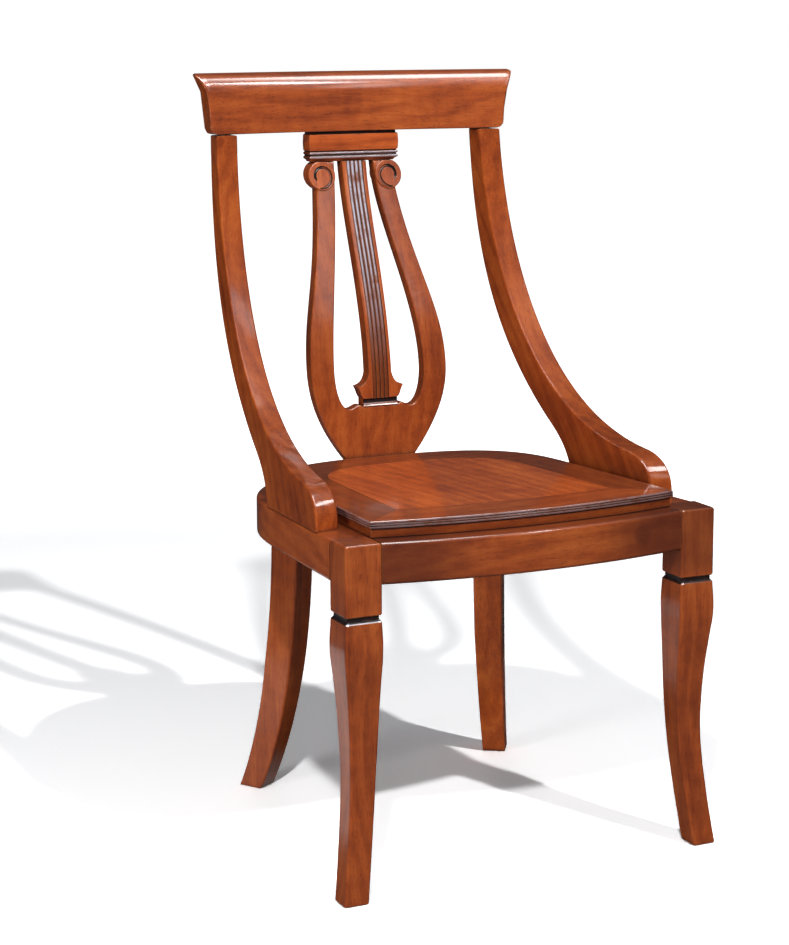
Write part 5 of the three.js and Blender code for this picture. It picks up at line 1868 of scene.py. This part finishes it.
@dataclass
class Seat:
    """The veneered seat with its reeded edge, on a plinth; sizes in millimetres."""

    bead: float = 2.9
    beads: int = 3
    bead_radius: float = 1.45
    bead_inset: float = 1.5
    line_radius: float = 0.4
    line_inset: float = 0.55
    core_inset: float = 1.0
    core_gap: float = 0.1
    plinth_top: float = 441.8
    plinth_inset: float = 3.0
    plinth_line: float = 1.4
    plinth_foot: float = 1.0
    corner: Point = (204.0, -202.0)
    bow: float = 24.0
    taper: float = 0.045
    bend_y: float = 40.0
    back_y: float = 209.5
    power: float = 3.0
    inner_corner: Point = (145.5, -149.0)
    inner_bow: float = 14.0
    inner_back: float = 153.0
    joint_y: float = 60.0
    joint_line: float = 0.5
    strip_sides: int = 5
    fit: float = 0.3

    def edge_x(self, y: float, inset: float, back: float) -> float:
        """Half width of an outline of the seat at a depth.

        Args:
            y: The depth.
            inset: How far the outline lies inside the seat's own.
            back: The outline's hindmost depth.

        Returns:
            The half width.
        """
        half = self.corner[0] - self.taper * (y - self.corner[1]) - inset
        if y <= self.bend_y:
            return half
        share = min((y - self.bend_y) / (back - self.bend_y), 1.0)
        return half * (1.0 - share ** self.power) ** (1.0 / self.power)

    def stretches(self, corner: Point, bow: float, back: float) -> dict[str, list[Point]]:
        """The front, side and back stretches of an outline.

        Args:
            corner: Its right front corner.
            bow: How far its front bows out.
            back: Its hindmost depth.

        Returns:
            The stretches, anticlockwise from the left front corner; the side one is the right side's.
        """
        inset = self.corner[0] - self.taper * (corner[1] - self.corner[1]) - corner[0]
        front = [(corner[0] * share, corner[1] - bow * (1 - share ** 2)) for share in spread(-1.0, 1.0, 24)]
        side = [(self.edge_x(y, inset, back), y) for y in spread(corner[1], self.joint_y, 12)]
        start = math.asin(((self.joint_y - self.bend_y) / (back - self.bend_y)) ** (self.power / 2))
        right = []
        for turn in spread(start, math.pi / 2, 20)[:-1]:
            y = self.bend_y + (back - self.bend_y) * math.sin(turn) ** (2 / self.power)
            right.append((self.edge_x(y, inset, back), y))
        return {"front": front, "side": side, "back": [*right, (0.0, back), *mirrored(right)]}

    @staticmethod
    def ring(parts: dict[str, list[Point]]) -> list[Point]:
        """The closed outline that the stretches make."""
        return [*parts["front"], *parts["side"][1:], *parts["back"][1:], *mirrored(parts["side"])[1:-1]]

    def outline(self, inset: float) -> list[Point]:
        """The whole outline of the seat, drawn in by an inset."""
        corner = (self.corner[0] - inset, self.corner[1] + inset)
        return self.ring(self.stretches(corner, self.bow, self.back_y - inset))

    def build(self, shop: Workshop, seat: SeatFrame) -> None:
        """Make the plinth, the board, the four bands and the field.

        Args:
            shop: The workshop.
            seat: The seat frame.
        """
        line = self.plinth_top - self.plinth_line
        levels = (seat.top + self.fit, seat.top + self.plinth_foot, line, self.plinth_top - self.fit)
        outline = self.outline(self.plinth_inset)
        plinth = shop.place(loft("seat_plinth", [seat.sloped(outline, z) for z in levels]))

        def choose(middle: Vector, normal: Vector) -> bool:
            """True for the dark line under the board and the one over the rail."""
            rise = middle.z / METRE + seat.drop(middle.y / METRE - shop.shift)
            return rise > line or rise < seat.top + self.plinth_foot

        looks = [LacqueredWood("plinth_wood", Run.ACROSS, 73, depth=0.55), BlackGlazeAndShade()]
        shop.dress("seat_plinth", plinth, looks, choose)
        veneer = self.plinth_top + (self.beads - 1) * self.bead
        glaze_and_shade, dark = shop.finish(BlackGlazeAndShade()), shop.finish(BOARD_BEAD)
        core = self.outline(self.core_inset)
        levels = (self.plinth_top, veneer - self.core_gap)
        parts = [painted(loft("seat_board", [seat.sloped(core, z) for z in levels]), [glaze_and_shade])]
        # The board's beads take a painted pale highlight.
        for inset, rise, radius, look in (
            (self.bead_inset, self.bead / 2, self.bead_radius, dark),
            (self.line_inset, self.bead, self.line_radius, glaze_and_shade),
        ):
            edge = seat.sloped(self.outline(inset), self.plinth_top + rise)
            step = (0.0, 0.0, self.bead)
            parts.append(shop.rods.lay("seat_beads", edge, radius, look, self.beads - 1, step, True))
        mesh = shop.place(joined("seat_board", parts))
        shop.dress("seat_board", mesh, sharp=55.0)
        self.bands(shop, seat, veneer)
        self.field(shop, seat, veneer)

    def bands(self, shop: Workshop, seat: SeatFrame, veneer: float) -> None:
        """Make the four bands.

        Args:
            shop: The workshop.
            seat: The seat frame.
            veneer: Height of their underside over the front.
        """
        radius, gap = self.bead / 2, self.fit / 2
        bead, glaze_and_shade = shop.finish(EDGE_BEAD), shop.finish(BlackGlazeAndShade())
        corner = (self.corner[0] - radius, self.corner[1] + radius)
        outer = self.stretches(corner, self.bow, self.back_y - radius)
        grown = (self.inner_corner[0] + self.fit, self.inner_corner[1] - self.fit)
        inner = self.stretches(grown, self.inner_bow, self.inner_back + self.fit)
        for name, part, run, seed, mirror, depth, (across, along) in (
            ("seat_front_band", "front", Run.ACROSS, 61, False, 1.25, (gap, 0.0)),
            ("seat_right_band", "side", Run.DEEP, 63, False, 0.75, (0.0, gap)),
            ("seat_left_band", "side", Run.DEEP, 66, True, 0.75, (0.0, gap)),
            ("seat_back_band", "back", Run.ACROSS, 68, False, 0.75, (0.0, 0.0)),
        ):
            far, near = list(outer[part]), list(inner[part])
            for line in (far, near):
                line[0] = (line[0][0] + across, line[0][1] + along)
                line[-1] = (line[-1][0] - across, line[-1][1] - along)
            wood = shop.finish(LacqueredWood(f"{name}_wood", run, seed, depth=depth))
            plate = painted(self.strip(name, far, near, veneer, seat), [wood, glaze_and_shade])
            last = len(plate.polygons) - 2
            for face in plate.polygons[:last]:
                side = face.index % self.strip_sides
                at_end = not self.strip_sides <= face.index < last - self.strip_sides
                face.material_index = int(side == 2 or (side == 1 and at_end))
            # The band's bead takes a painted pale highlight.
            rod = shop.rods.lay(f"{name}_bead", seat.sloped(far, veneer + radius), radius, bead)
            shop.dress(name, shop.place(joined(name, [plate, rod]), mirror), sharp=55.0)

    def strip(
        self, name: str, far: Sequence[Point], near: Sequence[Point], veneer: float, seat: SeatFrame,
    ) -> bpy.types.Mesh:
        """A flat strip between two lines with as many points.

        Args:
            name: The mesh's name.
            far: Its outer line.
            near: Its inner line.
            veneer: Height of its underside over the front.
            seat: The seat frame that gives the slope.

        Returns:
            The mesh, with five faces between each pair of points and its next.
        """
        pairs = [(Vector(f), Vector(n)) for f, n in zip(far, near)]
        first, last = (
            tuple(p + (q - p).normalized() * self.joint_line for p, q in zip(pairs[end], pairs[beside]))
            for end, beside in ((0, 1), (-1, -2))
        )
        low, high = veneer + self.fit, veneer + self.bead
        loops = []
        for f, n in (pairs[0], first, *pairs[1:-1], last, pairs[-1]):
            line = n + (f - n).normalized() * self.joint_line
            section = ((f, low), (f, high), (line, high), (n, high), (n, low))
            loops.append([Vector((v.x, v.y, z - seat.drop(v.y))) for v, z in section])
        return loft(name, loops)

    def field(self, shop: Workshop, seat: SeatFrame, veneer: float) -> None:
        """Make the field with the dark line round it.

        Args:
            shop: The workshop.
            seat: The seat frame.
            veneer: Height of its underside over the front.
        """
        outline = self.ring(self.stretches(self.inner_corner, self.inner_bow, self.inner_back))
        loops = [seat.sloped(outline, z) for z in (veneer + self.fit, veneer + self.bead)]
        loops.append([p + (Vector((0.0, 0.0, p.z)) - p).normalized() * self.joint_line for p in loops[-1]])
        looks = [LacqueredWood("seat_field_wood", Run.MITRE, 69, depth=1.8), BlackGlazeAndShade()]
        mesh = painted(loft("seat_field", loops), [shop.finish(look) for look in looks])
        for face in mesh.polygons[len(outline):2 * len(outline)]:
            face.material_index = 1
        shop.dress("seat_field", shop.place(mesh))


@dataclass
class Screws:
    """The wood screws in the corner blocks; sizes in millimetres."""

    shank: float = 2.1
    root: float = 1.35
    ridge: float = 0.7
    head: float = 4.1
    head_deep: float = 2.5
    tip: float = 5.0
    pitch: float = 2.2
    threaded_share: float = 0.62

    def build(self, shop: Workshop) -> None:
        """Make every screw where its plain solid lies.

        Args:
            shop: The workshop.
        """
        steel = shop.finish(ZincSteel())
        for name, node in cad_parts.items():
            if "screw" not in name:
                continue
            spots = [Vector(p) for p in {tuple(round(c, 6) for c in v.co) for v in node.data.vertices}]
            middle = sum(spots, Vector()) / len(spots)
            tip = max(spots, key=lambda v, m=middle: (v - m).length)
            axis = (middle - tip).normalized()
            length = max((v - tip).dot(axis) for v in spots) / METRE
            threaded = length * self.threaded_share
            mesh = shop.screw.grow(name, bpy.data.meshes.new(f"{name}_seed"), {
                "Length": length, "Shank": self.shank, "Root": self.root, "Head": self.head,
                "Head depth": self.head_deep, "Threaded": threaded, "Tip": self.tip,
                "Turns": (threaded - self.tip) / self.pitch, "Ridge": self.ridge, "Finish": steel,
            })
            turn = axis.to_track_quat("Z", "Y").to_matrix().to_4x4()
            mesh.transform(Matrix.Translation(tip) @ turn @ Matrix.Diagonal((METRE, METRE, METRE, 1.0)))
            shop.dress(name, mesh)


@dataclass(frozen=True)
class Lamp:
    """An area lamp that only lights, or a card that only shows in the gloss; places and sizes in metres."""

    name: str
    spot: Place
    aim: Place
    size: Point
    power: float
    card: bool = False

    def hang(self) -> None:
        """Hang the lamp so that it faces its aim."""
        data = bpy.data.lights.new(self.name, "AREA")
        data.shape = "RECTANGLE"
        data.size, data.size_y = self.size
        data.energy = self.power
        lamp = bpy.data.objects.new(self.name, data)
        lamp.location = self.spot
        lamp.visible_glossy = self.card
        lamp.visible_diffuse = not self.card
        way = (Vector(self.spot) - Vector(self.aim)).normalized()
        lamp.rotation_euler = way.to_track_quat("Z", "Y").to_euler()
        bpy.context.scene.collection.objects.link(lamp)


LAMPS = (
    Lamp("front_right_lamp", (1.25, -3.45, 3.7), (0.0, 0.0, 0.5), (0.12, 0.12), 150.0),
    Lamp("front_left_lamp", (-1.4, -2.5, 3.2), (0.0, 0.0, 0.45), (0.16, 0.16), 91.0),
    Lamp("low_left_lamp", (-2.9, -0.9, 0.46), (0.0, 0.0, 0.4), (1.0, 0.8), 42.0),
    Lamp("back_lamp", (0.9, 3.3, 2.4), (0.0, 0.0, 0.5), (1.2, 1.2), 9.0),
    Lamp("camera_lamp", (-1.5, -2.9, 1.1), (0.0, 0.0, 0.3), (0.6, 0.6), 7.0),
    Lamp("overhead_card", (-0.18, -0.45, 2.1), (-0.18, -0.45, 0.5), (1.00, 1.20), 56.0, True),
    Lamp("crest_card", (0.67, 0.04, 2.5), (0.67, 0.04, 0.5), (0.22, 0.84), 5.6, True),
    Lamp("nose_card", (1.13, -1.00, 2.5), (1.13, -1.00, 0.5), (0.22, 0.80), 13.5, True),
    Lamp("front_card", (1.12, -2.15, 2.1), (0.0, 0.2, 0.75), (0.30, 0.9), 2.3, True),
)


@dataclass
class Room:
    """Floor, lights, world and camera; the eye's place is in millimetres, the floor's sizes in metres."""

    air: Place = (0.92, 0.95, 1.0)
    air_strength: float = 0.12
    dusk_strength: float = 0.03
    floor_half: float = 14.0
    floor_z: float = -0.0006
    eye: Place = (-1263.8, -2552.7, 1018.9)
    yaw: float = 24.908
    pitch: float = 11.216
    roll: float = -0.2454
    focal_pixels: float = 2297.14
    picture_pixels: float = 945.0
    sensor: float = 36.0
    sight: float = 60.0

    def build(self, shop: Workshop) -> None:
        """Set up everything round the chair.

        Args:
            shop: The workshop, for the frame's shift and the floor's finish.
        """
        self.world()
        self.floor(shop)
        for lamp in LAMPS:
            lamp.hang()
        self.camera(shop)

    def world(self) -> None:
        """White to the camera, dim to the chair and dimmer in its gloss."""
        world = bpy.data.worlds.new("studio")
        world.use_nodes = True
        bpy.context.scene.world = world
        sheet = Sheet(world.node_tree)
        air, dusk, white = (
            sheet.node("ShaderNodeBackground", {}, {"Color": colour(*tint), "Strength": strength})
            for tint, strength in (
                (self.air, self.air_strength), (self.air, self.dusk_strength), ((1.0, 1.0, 1.0), 1.0),
            )
        )
        dim = sheet.node("ShaderNodeMixShader", {}, {0: sheet.ray("Is Glossy Ray"), 1: air, 2: dusk})
        seen = sheet.node("ShaderNodeMixShader", {}, {0: sheet.ray("Is Camera Ray"), 1: dim, 2: white})
        sheet.finish("ShaderNodeOutputWorld", seen)

    def floor(self, shop: Workshop) -> None:
        """Lay the paper.

        Args:
            shop: The workshop that makes its finish.
        """
        mesh = bpy.data.meshes.new("floor")
        half = self.floor_half
        corners = [(-half, -half, 0), (half, -half, 0), (half, half, 0), (-half, half, 0)]
        mesh.from_pydata(corners, [], [(0, 1, 2, 3)])
        mesh.materials.append(shop.finish(FloorPaper()))
        floor = bpy.data.objects.new("floor", mesh)
        floor.location.z = self.floor_z
        bpy.context.scene.collection.objects.link(floor)

    def camera(self, shop: Workshop) -> None:
        """Set up the photograph's camera.

        Args:
            shop: The workshop, for the frame's shift.
        """
        spot = (Vector(self.eye) + Vector((0.0, shop.shift, 0.0))) * METRE
        yaw, pitch, roll = (math.radians(angle) for angle in (self.yaw, self.pitch, self.roll))
        ahead = Vector((math.sin(yaw) * math.cos(pitch), math.cos(yaw) * math.cos(pitch), -math.sin(pitch)))
        right = Vector((math.cos(yaw), -math.sin(yaw), 0.0))
        up = right.cross(ahead)
        tilted_right = right * math.cos(roll) + up * math.sin(roll)
        tilted_up = up * math.cos(roll) - right * math.sin(roll)
        turn = Matrix((tilted_right, tilted_up, -ahead)).transposed()
        data = bpy.data.cameras.new("camera")
        data.sensor_width = self.sensor
        data.sensor_height = self.sensor
        data.sensor_fit = "AUTO"
        data.lens = self.focal_pixels * self.sensor / self.picture_pixels
        data.clip_end = self.sight
        camera = bpy.data.objects.new("camera", data)
        camera.matrix_world = Matrix.Translation(spot) @ turn.to_4x4()
        bpy.context.scene.collection.objects.link(camera)
        bpy.context.scene.camera = camera


def main() -> None:
    """Build the chair and the room."""
    logging.basicConfig(level=logging.INFO, format="%(message)s")
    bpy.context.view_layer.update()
    shop = Workshop()
    seat_frame, lyre = SeatFrame(), Lyre()
    seat_frame.build(shop)
    Stile().build(shop, seat_frame)
    Crest().build(shop)
    lyre.build(shop)
    Column().build(shop, lyre)
    Capital().build(shop)
    Seat().build(shop, seat_frame)
    Screws().build(shop)
    replaced = {piece.name.removesuffix("_made") for piece in shop.made}
    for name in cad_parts:
        if name not in replaced:
            shop.paint(name, SawnWood())
    Room().build(shop)
    bpy.context.scene.view_settings.view_transform = "Standard"
    LOG.info("finished %d pieces", len(shop.made))


if __name__ == "__main__":
    main()
